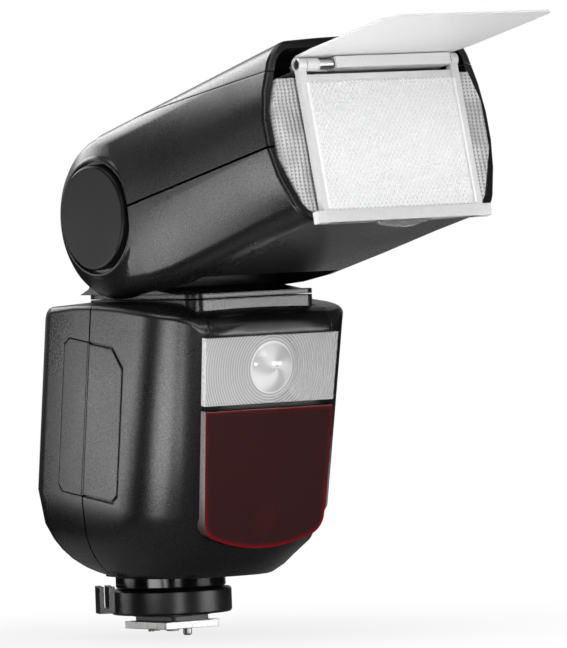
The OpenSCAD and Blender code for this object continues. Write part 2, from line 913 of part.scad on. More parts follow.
module lock_pin() {
    tip = 0.4;
    color(bright_metal) translate([0, -lock_pin_y, -lock_pin_drop]) {
        cylinder(r1 = lock_pin_d / 2 - tip, r2 = lock_pin_d / 2, h = tip);
        translate([0, 0, tip]) cylinder(d = lock_pin_d, h = lock_pin_drop - tip);
        translate([0, 0, lock_pin_drop]) cylinder(r = lock_shank_r, h = ring_z + 4);
    }
}

lever_turn = 150;

module lock_ring() {
    edge = 0.5;
    bore = spindle_r + shaft_gap;
    color(satin_black) translate([0, 0, ring_z]) rotate_extrude() polygon([
        [bore, 0], [ring_r - edge, 0], [ring_r, edge], [ring_r, ring_h - edge], [ring_r - edge, ring_h],
        [bore, ring_h]
    ]);
}

module lock_lever() {
    lever_w = 9;
    lever_h = ring_h + 0.6;
    slot = 1.2;
    color(satin_black) rotate(lever_turn) translate([0, 0, ring_z + 0.6]) difference() {
        linear_extrude(lever_h) intersection() {
            translate([0, -lever_w / 2]) square([ring_r + lever_reach, lever_w]);
            circle(ring_r + lever_reach);
        }
        translate([0, 0, -1]) cylinder(r = ring_r + seam / 4, h = lever_h + 2);
        translate([ring_r + slot, -lever_w, slot]) cube([slot, 2 * lever_w, lever_h]);
    }
}

module foot_collar() {
    edge = 0.6;
    bore = spindle_r + shaft_gap;
    color(gloss_black) translate([0, 0, collar_z]) rotate_extrude() polygon([
        [bore, 0], [collar_r - edge, 0], [collar_r, edge], [collar_r, collar_h], [bore, collar_h]
    ]);
}

module swivel_base() {
    color(shell_grey) difference() {
        translate([0, 0, swivel_low]) linear_extrude(swivel_top - swivel_low) swivel_plan(0);
        translate([0, -hub_y, 0]) cylinder(r = swivel_r + shaft_gap, h = big);
    }
}

// Side profile of the yoke's pedestal, from the flange up into the drum.
module yoke_profile() {
    polygon([
        [-24, flange_top - 0.1], [-13, flange_top + 1.4], [-12.2, flange_top + 3], [-12.2, hub_z],
        [13.5, hub_z], [13.5, flange_top + 4], [15, flange_top + 1.6], [19, flange_top - 0.1]
    ]);
}

module yoke() {
    color(shell_grey) difference() {
        union() {
            translate([0, 0, flange_z]) linear_extrude(flange_t) swivel_plan(0);
            translate([-drum_x, -hub_y, 0]) rotate([90, 0, 90]) linear_extrude(2 * drum_x) yoke_profile();
            translate([-drum_x, -hub_y, hub_z]) rotate([0, 90, 0]) cylinder(r = drum_r, h = 2 * drum_x);
            translate([0, -hub_y, swivel_low - retainer_t - gap])
                cylinder(r = swivel_r, h = flange_z - swivel_low + retainer_t + gap + 0.5);
        }
        translate([-big / 2, -hub_y, hub_z]) rotate([0, 90, 0]) cylinder(r = axle_r + shaft_gap, h = big);
        translate([0, -hub_y, 0]) cylinder(r = swivel_r - 4, h = hub_z - drum_r + 4);
    }
}

module swivel_retainer() {
    color(bright_metal) translate([0, -hub_y, swivel_low - retainer_t - gap]) difference() {
        cylinder(r = swivel_r + 3, h = retainer_t);
        translate([0, 0, -1]) cylinder(r = swivel_r + shaft_gap, h = retainer_t + 2);
    }
}

axle_end = cap_seat - 1;

module tilt_axle() {
    color(bright_metal) translate([-axle_end, -hub_y, hub_z]) rotate([0, 90, 0])
        cylinder(r = axle_r, h = 2 * axle_end);
}

module hub_cap(side) {
    edge = 0.8;
    t = cap_x - cap_seat - seam / 2;
    color(satin_black) at_head() translate([side * (cap_seat + seam / 2), 0, 0]) rotate([0, side * 90, 0])
        rotate_extrude() polygon([
            [0, 0], [cap_r, 0], [cap_r, t - edge], [cap_r - 0.25 * edge, t - 0.4 * edge], [cap_r - edge, t],
            [0, t]
        ]);
}

// Depth of the head's underside below the tilt axis, along the head.
function head_low(a) =
    let (
        deep = ear_r + head_sag,
        rise = ease((a - sag_a) / (head_len - sag_a))
    )
    ear_r + head_sag * ease(a / sag_a) - (deep - head_front_low) * rise;

function head_top(a) = mix(ear_r + 0.6, head_front_top, a / head_len);

function head_ring(a, w, trim, n, m) =
    let (
        t = a / head_len,
        hw = mix(head_rear_w, head_front_w, t) / 2 - w - trim,
        hi = head_top(a) - w - trim,
        lo = w + trim - head_low(a),
        mid = (hi + lo) / 2,
        h = (hi - lo) / 2,
        r = 5 - w - trim,
        bulge = mix(2.5, side_bulge, t),
        arch = mix(0.4, 1.2, t),
        draw_back = 2.2 * pow(min(t, 1), 4)
    )
    [
        for (p = outline(hw, lo, hi, r, r, n, m))
            let (q = (p.y - mid) / h, side = p.x / hw)
            [
                p.x - bulge * side * q * q,
                draw_back * (1 - q * q) * side * side - a,
                p.y + arch * (1 - side * side) * max(q, 0)
            ]
    ];

module head_form() {
    n = 5;
    m = 4;
    loft(concat(
        [for (a = [0, 9, 18, 28, 50, 72]) head_ring(a, 0, 0, n, m)],
        [head_ring(head_len - 0.6, 0, 0, n, m), head_ring(head_len, 0, 0.6, n, m)]
    ));
    for (side = [-1, 1]) ear(side);
}

module ear(side) {
    shoulder = cap_r + cap_groove + 1.4;
    rotate([0, side * 90, 0]) rotate(180 / 72) rotate_extrude($fn = 72) polygon([
        [0, ear_in], [ear_r, ear_in], [ear_r, ear_in + 1.2], [ear_r - 0.5, ear_in + 2.6],
        [ear_r - 1.5, ear_in + 4], [ear_r - 3, ear_in + 5.4], [shoulder, ear_face - 1],
        [shoulder - 0.4, ear_face - 0.3], [shoulder - 0.9, ear_face], [0, ear_face]
    ]);
}

module head_cavity() {
    n = 3;
    m = 2;
    loft([for (a = [cavity_a, 50, 75, head_len + 4]) head_ring(a, head_wall, 0, n, m)]);
}

module head_cuts() {
    difference() {
        head_cavity();
        translate([-big / 2, -head_len + 5, deck_up]) cube([big, big, deck_t]);
    }
    rotate([0, 90, 0]) translate([0, 0, -drum_x - drum_gap]) rotate(180 / 96)
        cylinder(r = drum_r + drum_gap, h = 2 * (drum_x + drum_gap), $fn = 96);
    rotate([0, 90, 0]) translate([0, 0, -big / 2]) rotate(180 / 48)
        cylinder(r = axle_r + 0.2, h = big, $fn = 48);
    for (side = [-1, 1]) rotate([0, side * 90, 0]) translate([0, 0, cap_seat])
        rotate(180 / 64) cylinder(r = cap_r + cap_groove, h = big, $fn = 64);
    translate([-ear_in - 1, -recess_a, -big + recess_up]) cube([2 * ear_in + 2, recess_a + 5, big]);
    translate([-ear_in - 0.7, -13, -big - 13]) cube([2 * ear_in + 1.4, 18, big]);
}

// Half-space above the parting plane of the lower shell.
module above_seam(shift) {
    rotate([slope_seam, 0, 0]) translate([-big / 2, -big / 2, shift]) cube(big);
}

// Half-space above the parting plane of the top cover.
module above_cover(shift) {
    slope = atan2(cover_tip_up - cover_front_up, head_len - cover_tip_a);
    translate([0, -head_len, cover_front_up]) rotate([slope, 0, 0])
        translate([-big / 2, -big / 2, shift]) cube(big);
}

module head_lower_shell() {
    color(shell_grey) at_head() moulding() difference() {
        head_form();
        head_cuts();
        above_seam(-seam / 2);
    }
}

module head_upper_shell() {
    color(shell_grey) at_head() moulding() difference() {
        intersection() {
            head_form();
            above_seam(seam / 2);
        }
        head_cuts();
        above_cover(-seam / 2);
    }
}

module head_top_cover() {
    color(shell_grey) at_head() moulding() difference() {
        intersection() {
            head_form();
            above_cover(seam / 2);
        }
        head_cuts();
    }
}

module flash_lens() {
    points = [for (p = head_ring(lens_a, head_wall + seam, 0, 3, 2)) [p.x, p.z]];
    color(clear) at_head() translate([0, -lens_a, 0]) rotate([90, 0, 0])
        linear_extrude(lens_t) intersection() {
            polygon(points);
            translate([-big / 2, -big / 2]) square([big, big / 2 + deck_up - seam]);
        }
}

module wide_panel() {
    arm_x = panel_w / 2 - arm_w;
    plate_top = hinge_up - 2.8;
    rail_h = 3.2;
    lip_r = 26;
    lip_drop = 1.7;
    color(clear) at_head() difference() {
        union() {
            translate([-panel_w / 2, -panel_a - panel_plate, panel_low])
                cube([panel_w, panel_plate, plate_top - panel_low]);
            for (side = [-1, 1]) {
                translate([side * (arm_x + arm_w / 2) - arm_w / 2, -panel_a - panel_plate - 0.6, panel_low])
                    cube([arm_w, panel_plate + 0.6, hinge_up - panel_low]);
                translate([side * (arm_x + arm_w / 2) - arm_w / 2, -hinge_a, hinge_up]) rotate([0, 90, 0])
                    cylinder(r = 1.9, h = arm_w);
            }
            translate([-rail_w / 2, -panel_a - panel_plate - 0.9, panel_low - rail_h])
                cube([rail_w, panel_plate + 0.9, rail_h]);
            translate([0, -panel_a, panel_low - rail_h - lip_drop + lip_r]) rotate([90, 0, 0])
                intersection() {
                    cylinder(r = lip_r, h = panel_plate);
                    translate([-rail_w / 2, -lip_r, 0]) cube([rail_w, lip_drop + 0.5, panel_plate]);
                }
        }
        translate([-big / 2, -hinge_a, hinge_up]) rotate([0, 90, 0])
            cylinder(r = hinge_pin_r + shaft_gap, h = big);
    }
}

lug_w = 4.2;
lug_out = panel_w / 2 - arm_w - gap;
pin_in = lug_out - lug_w - 5;

// Slide that carries the wide panel, with one open lug on the left and a bar over the right pin.
module panel_carrier() {
    plate_t = 0.9;
    plate_up = deck_up + deck_t + seam;
    bar_up = card_up - card_t / 2 - gap;
    bar_front = 1.9;
    tail = 46;
    color(white) at_head() difference() {
        union() {
            translate([-lug_out, -hinge_a + 2.6, plate_up])
                cube([2 * lug_out, hinge_a - 2.6 - tail, plate_t]);
            translate([-lug_out, -hinge_a, plate_up]) cube([lug_w, 6, hinge_up + 1 - plate_up]);
            translate([-lug_out, -hinge_a, hinge_up]) rotate([0, 90, 0]) cylinder(r = 1.8, h = lug_w);
            translate([seam - pin_in, -hinge_a - bar_front, plate_up])
                cube([pin_in - seam + lug_out, bar_front + 3, bar_up - plate_up]);
        }
        translate([-big / 2, -hinge_a, hinge_up]) rotate([0, 90, 0])
            cylinder(r = hinge_pin_r + shaft_gap, h = big);
    }
}

module hinge_pins() {
    pin_l = panel_w / 2 - gap - pin_in;
    color("#9a9a98") at_head() for (x = [gap - panel_w / 2, pin_in])
        translate([x, -hinge_a, hinge_up]) rotate([0, 90, 0]) cylinder(r = hinge_pin_r, h = pin_l);
}

module bounce_card() {
    tail_l = 11;
    tail_w = 38;
    half = card_w / 2;
    front = head_len + card_out;
    cut = 4;
    draft = 1.2;
    color(white) at_head() translate([0, 0, card_up - card_t / 2]) {
        linear_extrude(card_t) polygon([
            [-tail_w / 2, tail_l - head_len], [-tail_w / 2, -head_len], [draft - half, -head_len - 1],
            [-half, -head_len - 10], [-half, cut - front], [cut - half, -front], [half - cut / 2, -front],
            [half, cut / 2 - front], [half, -head_len - 10], [half - draft, -head_len - 1],
            [tail_w / 2, -head_len], [tail_w / 2, tail_l - head_len]
        ]);
        translate([4, 2.2 - front, card_t]) pill(12, 1, 0.4, 0.2);
    }
}

// Parabola of the flash reflector, with its vertex at zero and its mouth forward.
function mirror_curve(back) = [
    for (i = [-8:8]) let (u = mirror_h * i / 8) [pow(u, 2) / (4 * mirror_focus) - back, u]
];

module mirror_profile() {
    front = mirror_curve(0);
    rear = mirror_curve(mirror_t);
    polygon(concat(front, [for (i = [len(rear) - 1:-1:0]) rear[i]]));
}

// Head places for the optics: local X runs forward from the tilt axis, local Y up, local Z to the left.
module along_head(a, up) {
    at_head() translate([0, -a, up]) rotate([90, 0, -90]) children();
}

module flash_reflector() {
    cheek = 0.6;
    color(bright_metal) along_head(mirror_a, 0) difference() {
        union() {
            translate([0, 0, -mirror_w / 2]) linear_extrude(mirror_w) mirror_profile();
            for (z = [-mirror_w / 2, mirror_w / 2 - cheek])
                translate([0, 0, z]) linear_extrude(cheek) polygon(mirror_curve(0.1));
        }
        translate([tube_a, 0, -big / 2]) cylinder(r = tube_r + seam, h = big);
    }
}

module flash_tube() {
    tube_l = mirror_w + 8;
    color(clear) along_head(mirror_a, 0) translate([tube_a, 0, -tube_l / 2]) cylinder(r = tube_r, h = tube_l);
}

module zoom_carriage() {
    low = rod_up - 2.4;
    high = 9;
    back = mirror_a - mirror_t - 0.1 - carriage_t;
    color("#3a3c40") at_head() difference() {
        translate([-rod_x - 3, -back - carriage_t, low]) cube([2 * rod_x + 6, carriage_t, high - low]);
        for (x = [-rod_x, rod_x]) translate([x, 0, rod_up]) rotate([90, 0, 0])
            cylinder(r = rod_r + shaft_gap, h = big);
        translate([0, 0, rod_up]) rotate([90, 0, 0]) cylinder(r = screw_r + shaft_gap, h = big);
        translate([-rod_x + 5, -back - big / 2, rod_up + 5]) cube([2 * rod_x - 10, big, 8]);
    }
}

module guide_rods() {
    color(bright_metal) at_head() for (x = [-rod_x, rod_x])
        translate([x, -cavity_a - seam, rod_up]) rotate([90, 0, 0])
            cylinder(r = rod_r, h = lens_a - cavity_a - 2);
}

module zoom_motor() {
    color("#8f9196") at_head() translate([0, -cavity_a - seam, rod_up]) rotate([90, 0, 0])
        cylinder(r = motor_r, h = motor_l);
}

module zoom_screw() {
    start = cavity_a + seam + motor_l + seam;
    color(bright_metal) at_head() translate([0, -start, rod_up]) rotate([90, 0, 0])
        cylinder(r = screw_r, h = mirror_a + zoom_travel + 8 - start);
}

foot_plate();
foot_stem();
foot_spindle();
sync_contact();
data_contacts();
lock_pin();
lock_ring();
lock_lever();
foot_collar();
rear_shell();
front_shell();
front_visor();
lamp_lens();
lamp_reflector();
modelling_led();
red_window();
assist_lamp();
port_cover();
data_port();
sync_jack();
battery_pack();
battery_latch();
battery_contacts();
display_window();
display_panel();
select_dial();
set_button();
function_key(0);  // function_key_1
function_key(1);  // function_key_2
function_key(2);  // function_key_3
function_key(3);  // function_key_4
mode_button();
test_button();
power_switch();
main_board();
main_capacitor();
case_screws();
swivel_base();
yoke();
swivel_retainer();
tilt_axle();
hub_cap(-1);  // hub_cap_left
hub_cap(1);  // hub_cap_right
head_lower_shell();
head_upper_shell();
head_top_cover();
flash_lens();
wide_panel();
panel_carrier();
hinge_pins();
bounce_card();
flash_reflector();
flash_tube();
zoom_carriage();
zoom_screw();
zoom_motor();
guide_rods();
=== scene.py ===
# %% [markdown]
# A speedlight flash for the studio, dressed from its CAD model.
# The CAD solids already have the right shapes, sizes and joints. This script gives each piece a smooth,
# finely shaded mesh and the finish of the real moulding, sets up a white studio, and points the camera.
# Everything is in metres, with the origin under the foot, the front towards -Y and +Z up.

# %% Load the CAD frame
import json
import math

import bmesh
import bpy
from mathutils import Matrix, Vector


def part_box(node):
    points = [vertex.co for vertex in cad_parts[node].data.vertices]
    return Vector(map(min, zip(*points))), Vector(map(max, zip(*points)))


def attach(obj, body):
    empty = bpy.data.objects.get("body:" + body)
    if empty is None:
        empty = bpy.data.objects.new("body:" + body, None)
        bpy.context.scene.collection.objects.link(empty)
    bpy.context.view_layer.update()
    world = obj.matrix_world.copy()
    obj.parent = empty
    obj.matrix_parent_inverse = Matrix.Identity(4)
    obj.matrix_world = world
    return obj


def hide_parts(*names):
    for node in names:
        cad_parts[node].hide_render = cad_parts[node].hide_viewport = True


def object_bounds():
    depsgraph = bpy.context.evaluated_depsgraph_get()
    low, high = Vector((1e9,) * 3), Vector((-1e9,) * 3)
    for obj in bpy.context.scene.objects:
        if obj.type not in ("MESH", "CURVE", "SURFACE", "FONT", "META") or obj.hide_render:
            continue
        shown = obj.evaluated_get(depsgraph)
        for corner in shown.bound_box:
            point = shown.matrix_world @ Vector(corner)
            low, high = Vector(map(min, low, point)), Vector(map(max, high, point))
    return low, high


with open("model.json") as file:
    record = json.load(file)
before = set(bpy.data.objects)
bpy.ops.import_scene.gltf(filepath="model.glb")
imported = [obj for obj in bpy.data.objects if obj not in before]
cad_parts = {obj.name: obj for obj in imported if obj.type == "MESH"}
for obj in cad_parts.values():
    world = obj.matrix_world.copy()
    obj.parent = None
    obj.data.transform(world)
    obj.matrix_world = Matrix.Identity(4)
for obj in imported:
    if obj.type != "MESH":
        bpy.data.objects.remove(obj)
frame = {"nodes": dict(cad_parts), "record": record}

scene = bpy.context.scene
cad_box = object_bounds()

# %% [markdown]
# The camera stands far away behind a very long lens, because the photograph has almost no perspective.
# Its place is an azimuth round the object, an elevation and a distance. The aim is given as two small
# shares of the distance, to the right and up, and the roll as the share of right in the camera's up axis.

# %% Camera
AZIMUTH = math.radians(-37)
ELEVATION = math.radians(3.3)
DISTANCE = 2.6
AIM_RIGHT = 0.012787
AIM_UP = 0.03134
ROLL = 0.03595
SENSOR = 36.0
FOCAL_PIXELS = 9534
IMAGE_HEIGHT = 648
FAR_LIMIT = 20


def towards(azimuth, elevation):
    """Unit vector from the object towards a place round it."""
    flat = math.cos(elevation)
    return Vector((math.sin(azimuth) * flat, -math.cos(azimuth) * flat, math.sin(elevation)))


def aimed(place, direction, up):
    """Matrix of a camera or lamp at a place, looking along a direction."""
    z = -direction.normalized()
    x = up.cross(z).normalized()
    y = z.cross(x)
    turn = Matrix((x, y, z)).transposed().to_4x4()
    return Matrix.Translation(place) @ turn


back = towards(AZIMUTH, ELEVATION)
right = Vector((math.cos(AZIMUTH), math.sin(AZIMUTH), 0))
above = back.cross(right)
camera_data = bpy.data.cameras.new("camera")
camera_data.sensor_fit = "VERTICAL"
camera_data.sensor_height = SENSOR
camera_data.lens = FOCAL_PIXELS / IMAGE_HEIGHT * SENSOR
camera_data.clip_end = FAR_LIMIT
camera = bpy.data.objects.new("camera", camera_data)
scene.collection.objects.link(camera)
aim = right * AIM_RIGHT + above * AIM_UP - back
camera.matrix_world = aimed(back * DISTANCE, aim, above + right * ROLL)
scene.camera = camera
scene.view_settings.view_transform = "Standard"
print("camera lens in mm:", round(camera_data.lens, 1))

# %% [markdown]
# The studio and all finishes are node trees wired from code. Small helpers keep that short. One adds a
# node, one links two sockets, one feeds a number or an output to an input, and two make the nodes that
# come up most, Math and Map Range.

# %% Node helpers
def add_node(tree, kind, sockets=None, **properties):
    """Adds a node, sets its properties, and sets the inputs named in the dict sockets."""
    made = tree.nodes.new(kind)
    for name, value in properties.items():
        setattr(made, name, value)
    for name, value in (sockets or {}).items():
        made.inputs[name].default_value = value
    return made


def join(tree, output, socket):
    """Links an output to an input."""
    tree.links.new(output, socket)


def feed(tree, value, socket):
    """Sets an input to a number, or links an output to it."""
    if isinstance(value, (int, float)):
        socket.default_value = value
    else:
        join(tree, value, socket)


def math_node(tree, operation, first, second=0.0):
    """The output of a Math node whose inputs are numbers or outputs."""
    made = add_node(tree, "ShaderNodeMath", operation=operation)
    feed(tree, first, made.inputs[0])
    feed(tree, second, made.inputs[1])
    return made.outputs[0]


def ramp(tree, value, low, high, at_low=0.0, at_high=1.0, smooth=True):
    """The output of a Map Range node: at_low where the value is low, at_high where it is high."""
    made = add_node(tree, "ShaderNodeMapRange", interpolation_type="SMOOTHSTEP" if smooth else "LINEAR")
    ends = {"Value": value, "From Min": low, "From Max": high, "To Min": at_low, "To Max": at_high}
    for name, end in ends.items():
        feed(tree, end, made.inputs[name])
    return made.outputs["Result"]


print("node helpers for Blender", bpy.app.version_string)

# %% [markdown]
# The studio is a white floor and a white backdrop behind the object. The room on the camera's side is
# dark, so that black plastic shows clean bands of light from the softboxes and stays black between them.
# Camera rays see plain white all round. Mirror-like and clear pieces see the backdrop where it stands.

# %% Studio world
ROOM_GREY = 0.07
BACKDROP_GREY = 0.35
BACKDROP_EDGE = 0.85
BACKDROP_SOFT = 0.15
world = bpy.data.worlds.new("studio")
scene.world = world
world.use_nodes = True
tree = world.node_tree
tree.nodes.clear()
rays = add_node(tree, "ShaderNodeLightPath")
way = add_node(tree, "ShaderNodeTexCoord")
facing = add_node(tree, "ShaderNodeVectorMath", operation="DOT_PRODUCT")
facing.inputs[1].default_value = (-math.sin(AZIMUTH), math.cos(AZIMUTH), 0)
join(tree, way.outputs["Generated"], facing.inputs[0])
start, end = BACKDROP_EDGE - BACKDROP_SOFT, BACKDROP_EDGE + BACKDROP_SOFT
fade = ramp(tree, facing.outputs["Value"], start, end, ROOM_GREY, BACKDROP_GREY)
level = math_node(tree, "MAXIMUM", fade, rays.outputs["Is Camera Ray"])
sky = add_node(tree, "ShaderNodeBackground", {"Color": (1, 1, 1, 1)})
join(tree, level, sky.inputs["Strength"])
output = add_node(tree, "ShaderNodeOutputWorld")
join(tree, sky.outputs["Background"], output.inputs["Surface"])
print("world: backdrop", BACKDROP_GREY, "room", ROOM_GREY)

# %% [markdown]
# The floor is one big square just under the foot. It belongs to the stage and not to the object.

# %% Floor
FLOOR_SIZE = 6.0
FLOOR_GAP = 0.0002
half = FLOOR_SIZE / 2
floor_z = cad_box[0].z - FLOOR_GAP
corners = [(x, y, floor_z) for x, y in ((-half, -half), (half, -half), (half, half), (-half, half))]
floor_mesh = bpy.data.meshes.new("floor")
floor_mesh.from_pydata(corners, [], [(0, 1, 2, 3)])
floor = bpy.data.objects.new("floor", floor_mesh)
scene.collection.objects.link(floor)
print("floor at z in mm:", round(floor_z * 1000, 2))

# %% [markdown]
# The floor is white paper. Camera rays see mostly plain white, with a share of real paper mixed in, so
# that the soft shadow under the foot stays while the paper melts into the backdrop. In reflections only
# the paper near the foot is pale. Further out it is dark, as if black cards lay just out of the picture,
# which keeps the underside of the head black.

# %% Floor paper
PAPER_GREY = 0.5
PAPER_SHARE = 0.18
PAPER_REACH = 0.16
CARD_GREY = 0.02
CARD_FROM = 0.06
CARD_FULL = 0.13
CARD_LEAST = 0.4


def grey(value):
    """A colour with three equal parts."""
    return (value, value, value)


def shader_mix(tree, share, first, second):
    """The output of a Mix Shader node."""
    made = add_node(tree, "ShaderNodeMixShader")
    for socket, source in zip(made.inputs, (share, first, second)):
        join(tree, source, socket)
    return made.outputs[0]


paper = bpy.data.materials.new("floor_paper")
paper.use_nodes = True
tree = paper.node_tree
tree.nodes.clear()
rays = add_node(tree, "ShaderNodeLightPath")
plain = add_node(tree, "ShaderNodeBsdfDiffuse", {"Color": (*grey(PAPER_GREY), 1)})
white = add_node(tree, "ShaderNodeEmission", {"Color": (1, 1, 1, 1), "Strength": 1.0})
black = add_node(tree, "ShaderNodeBsdfDiffuse", {"Color": (*grey(CARD_GREY), 1)})
place = add_node(tree, "ShaderNodeTexCoord")
reach = add_node(tree, "ShaderNodeVectorMath", operation="LENGTH")
join(tree, place.outputs["Object"], reach.inputs[0])
melt = ramp(tree, reach.outputs["Value"], 0.0, PAPER_REACH, 1 - PAPER_SHARE)
white_share = math_node(tree, "MULTIPLY", rays.outputs["Is Camera Ray"], melt)
seen = shader_mix(tree, white_share, plain.outputs[0], white.outputs[0])
card = ramp(tree, reach.outputs["Value"], CARD_FROM, CARD_FULL, CARD_LEAST)
card_share = math_node(tree, "MULTIPLY", rays.outputs["Is Glossy Ray"], card)
mirrored = shader_mix(tree, card_share, seen, black.outputs[0])
output = add_node(tree, "ShaderNodeOutputMaterial")
join(tree, mirrored, output.inputs["Surface"])
floor_mesh.materials.append(paper)
print("paper melts into white by mm:", round(1000 * PAPER_REACH))

# %% [markdown]
# Softboxes draw the bands of light on the mouldings. The body leans forward, so its walls and corners
# mirror the table more than the room. That is why four lit sheets lie on the table: one behind on the left
# for the side walls, a wide and a thin one for the band on the rounded front corner, and a weak one behind
# on the right for the card. Low bars fill the band on the walls, the foot and the upright front faces. A
# box behind lights the top of the head, and two big ones light the lens and the lamp from the front and
# above. Each is an area lamp, given by where it stands, its size and its power.

# %% Softboxes
CENTRE = Vector((0, -0.04, 0.09))
STEEP = 70
SHEET_LIFT = 0.002


def softbox(name, azimuth, elevation, distance, size, power, lying=False):
    """An area lamp that looks at the object, or lies on the table and looks up."""
    lamp = bpy.data.lights.new(name, "AREA")
    lamp.shape = "ELLIPSE" if lying else "RECTANGLE"
    lamp.size, lamp.size_y = size
    lamp.energy = power
    made = bpy.data.objects.new(name, lamp)
    scene.collection.objects.link(made)
    direction = towards(math.radians(azimuth), math.radians(elevation))
    place = CENTRE + direction * distance
    side = Vector((0, 0, 1)) if elevation < STEEP else right
    if lying:
        place.z = floor_z + SHEET_LIFT
        side = direction
        direction = Vector((0, 0, -1))
    made.matrix_world = aimed(place, -direction, side)
    made.visible_camera = False


softbox("left_sheet", -137, 0, 0.75, (0.36, 0.9), 3.0, lying=True)
softbox("left_bar", -137, -3, 1.2, (0.5, 0.05), 0.7)
softbox("corner_sheet", -79, 0, 0.40, (0.15, 0.56), 1.7, lying=True)
softbox("camera_sheet", -56, 0, 0.34, (0.035, 0.45), 0.32, lying=True)
softbox("camera_bar", -24, -5.5, 0.6, (0.12, 0.06), 0.6)
softbox("right_bar", 38, -3.5, 0.7, (0.4, 0.09), 1.7)
softbox("back_sheet", 138, 0, 0.45, (0.3, 0.4), 0.16, lying=True)
softbox("back_box", -178, 25, 1.2, (0.9, 0.4), 4.5)
softbox("top_box", -110, 74, 1.2, (0.9, 0.8), 7)
softbox("front_fill", -6, 30, 1.5, (0.8, 0.8), 10.3)
print("lamps:", len(bpy.data.lights))

# %% [markdown]
# A moulded edge is never perfectly sharp: it catches a thin line of light and wears a little paler.
# This shader group rounds the shading at edges with a Bevel node and measures how far the rounded normal
# turns away from the flat one. The turn is the edge mask. Every rigid finish uses the group.

# %% Group: soft edges
def shader_group(name, inputs, outputs):
    """An empty shader group with float inputs (name, default) and outputs (name, socket type)."""
    made = bpy.data.node_groups.new(name, "ShaderNodeTree")
    for label, value in inputs:
        socket = made.interface.new_socket(label, in_out="INPUT", socket_type="NodeSocketFloat")
        socket.default_value = value
    for label, kind in outputs:
        made.interface.new_socket(label, in_out="OUTPUT", socket_type=kind)
    return made, made.nodes.new("NodeGroupInput"), made.nodes.new("NodeGroupOutput")


soft_edges, given, result = shader_group(
    "soft_edges",
    [("Radius", 0.0003), ("Gain", 4.0)],
    [("Edge", "NodeSocketFloat"), ("Normal", "NodeSocketVector")],
)
bevel = add_node(soft_edges, "ShaderNodeBevel", samples=6)
join(soft_edges, given.outputs["Radius"], bevel.inputs["Radius"])
surface = add_node(soft_edges, "ShaderNodeNewGeometry")
turn = add_node(soft_edges, "ShaderNodeVectorMath", operation="DOT_PRODUCT")
join(soft_edges, bevel.outputs["Normal"], turn.inputs[0])
join(soft_edges, surface.outputs["Normal"], turn.inputs[1])
away = math_node(soft_edges, "SUBTRACT", 1.0, turn.outputs["Value"])
mask = math_node(soft_edges, "MULTIPLY", away, given.outputs["Gain"])
mask.node.use_clamp = True
join(soft_edges, mask, result.inputs["Edge"])
join(soft_edges, bevel.outputs["Normal"], result.inputs["Normal"])
print("group:", soft_edges.name)

# %% [markdown]
# The shells have a fine spark-eroded grain: tiny pits less than half a millimetre across that break up the
# light into a speckle. Two noise textures in Object coordinates make it. One gives the pits, the other a
# slow change of sheen over the surface, as where hands have polished it.

# %% Group: moulded grain
PIT_RANGE = (0.35, 0.7)
PATCH_RANGE = (0.35, 0.65)
moulded_grain, given, result = shader_group(
    "moulded_grain",
    [("Grain size", 0.0004), ("Sheen low", 0.4), ("Sheen high", 0.55), ("Patch size", 0.03)],
    [("Speckle", "NodeSocketFloat"), ("Roughness", "NodeSocketFloat"), ("Height", "NodeSocketFloat")],
)


def noise_in_group(size, detail, roughness):
    """The value of a noise in Object coordinates whose size is an input of the grain group."""
    made = add_node(moulded_grain, "ShaderNodeTexNoise", {"Detail": detail, "Roughness": roughness})
    place = add_node(moulded_grain, "ShaderNodeTexCoord")
    join(moulded_grain, place.outputs["Object"], made.inputs["Vector"])
    scale = math_node(moulded_grain, "DIVIDE", 1.0, given.outputs[size])
    join(moulded_grain, scale, made.inputs["Scale"])
    return made.outputs[0]


pits = noise_in_group("Grain size", 2.0, 0.6)
patches = noise_in_group("Patch size", 3.0, 0.5)
speckle = ramp(moulded_grain, pits, *PIT_RANGE, smooth=False)
ends = (given.outputs["Sheen low"], given.outputs["Sheen high"])
sheen = ramp(moulded_grain, patches, *PATCH_RANGE, *ends, smooth=False)
join(moulded_grain, speckle, result.inputs["Speckle"])
join(moulded_grain, sheen, result.inputs["Roughness"])
join(moulded_grain, pits, result.inputs["Height"])
print("group:", moulded_grain.name)

# %% [markdown]
# Most finishes on the flash are one recipe with other numbers: a dark colour and a slightly paler one for
# the speckle and the worn edges, a range of sheen, a grain size and its depth. The recipe wires the two
# groups into a Principled BSDF. Values that don't change over the surface are set on its own sockets.

# %% Moulded finish recipe
MICRON = 0.000001


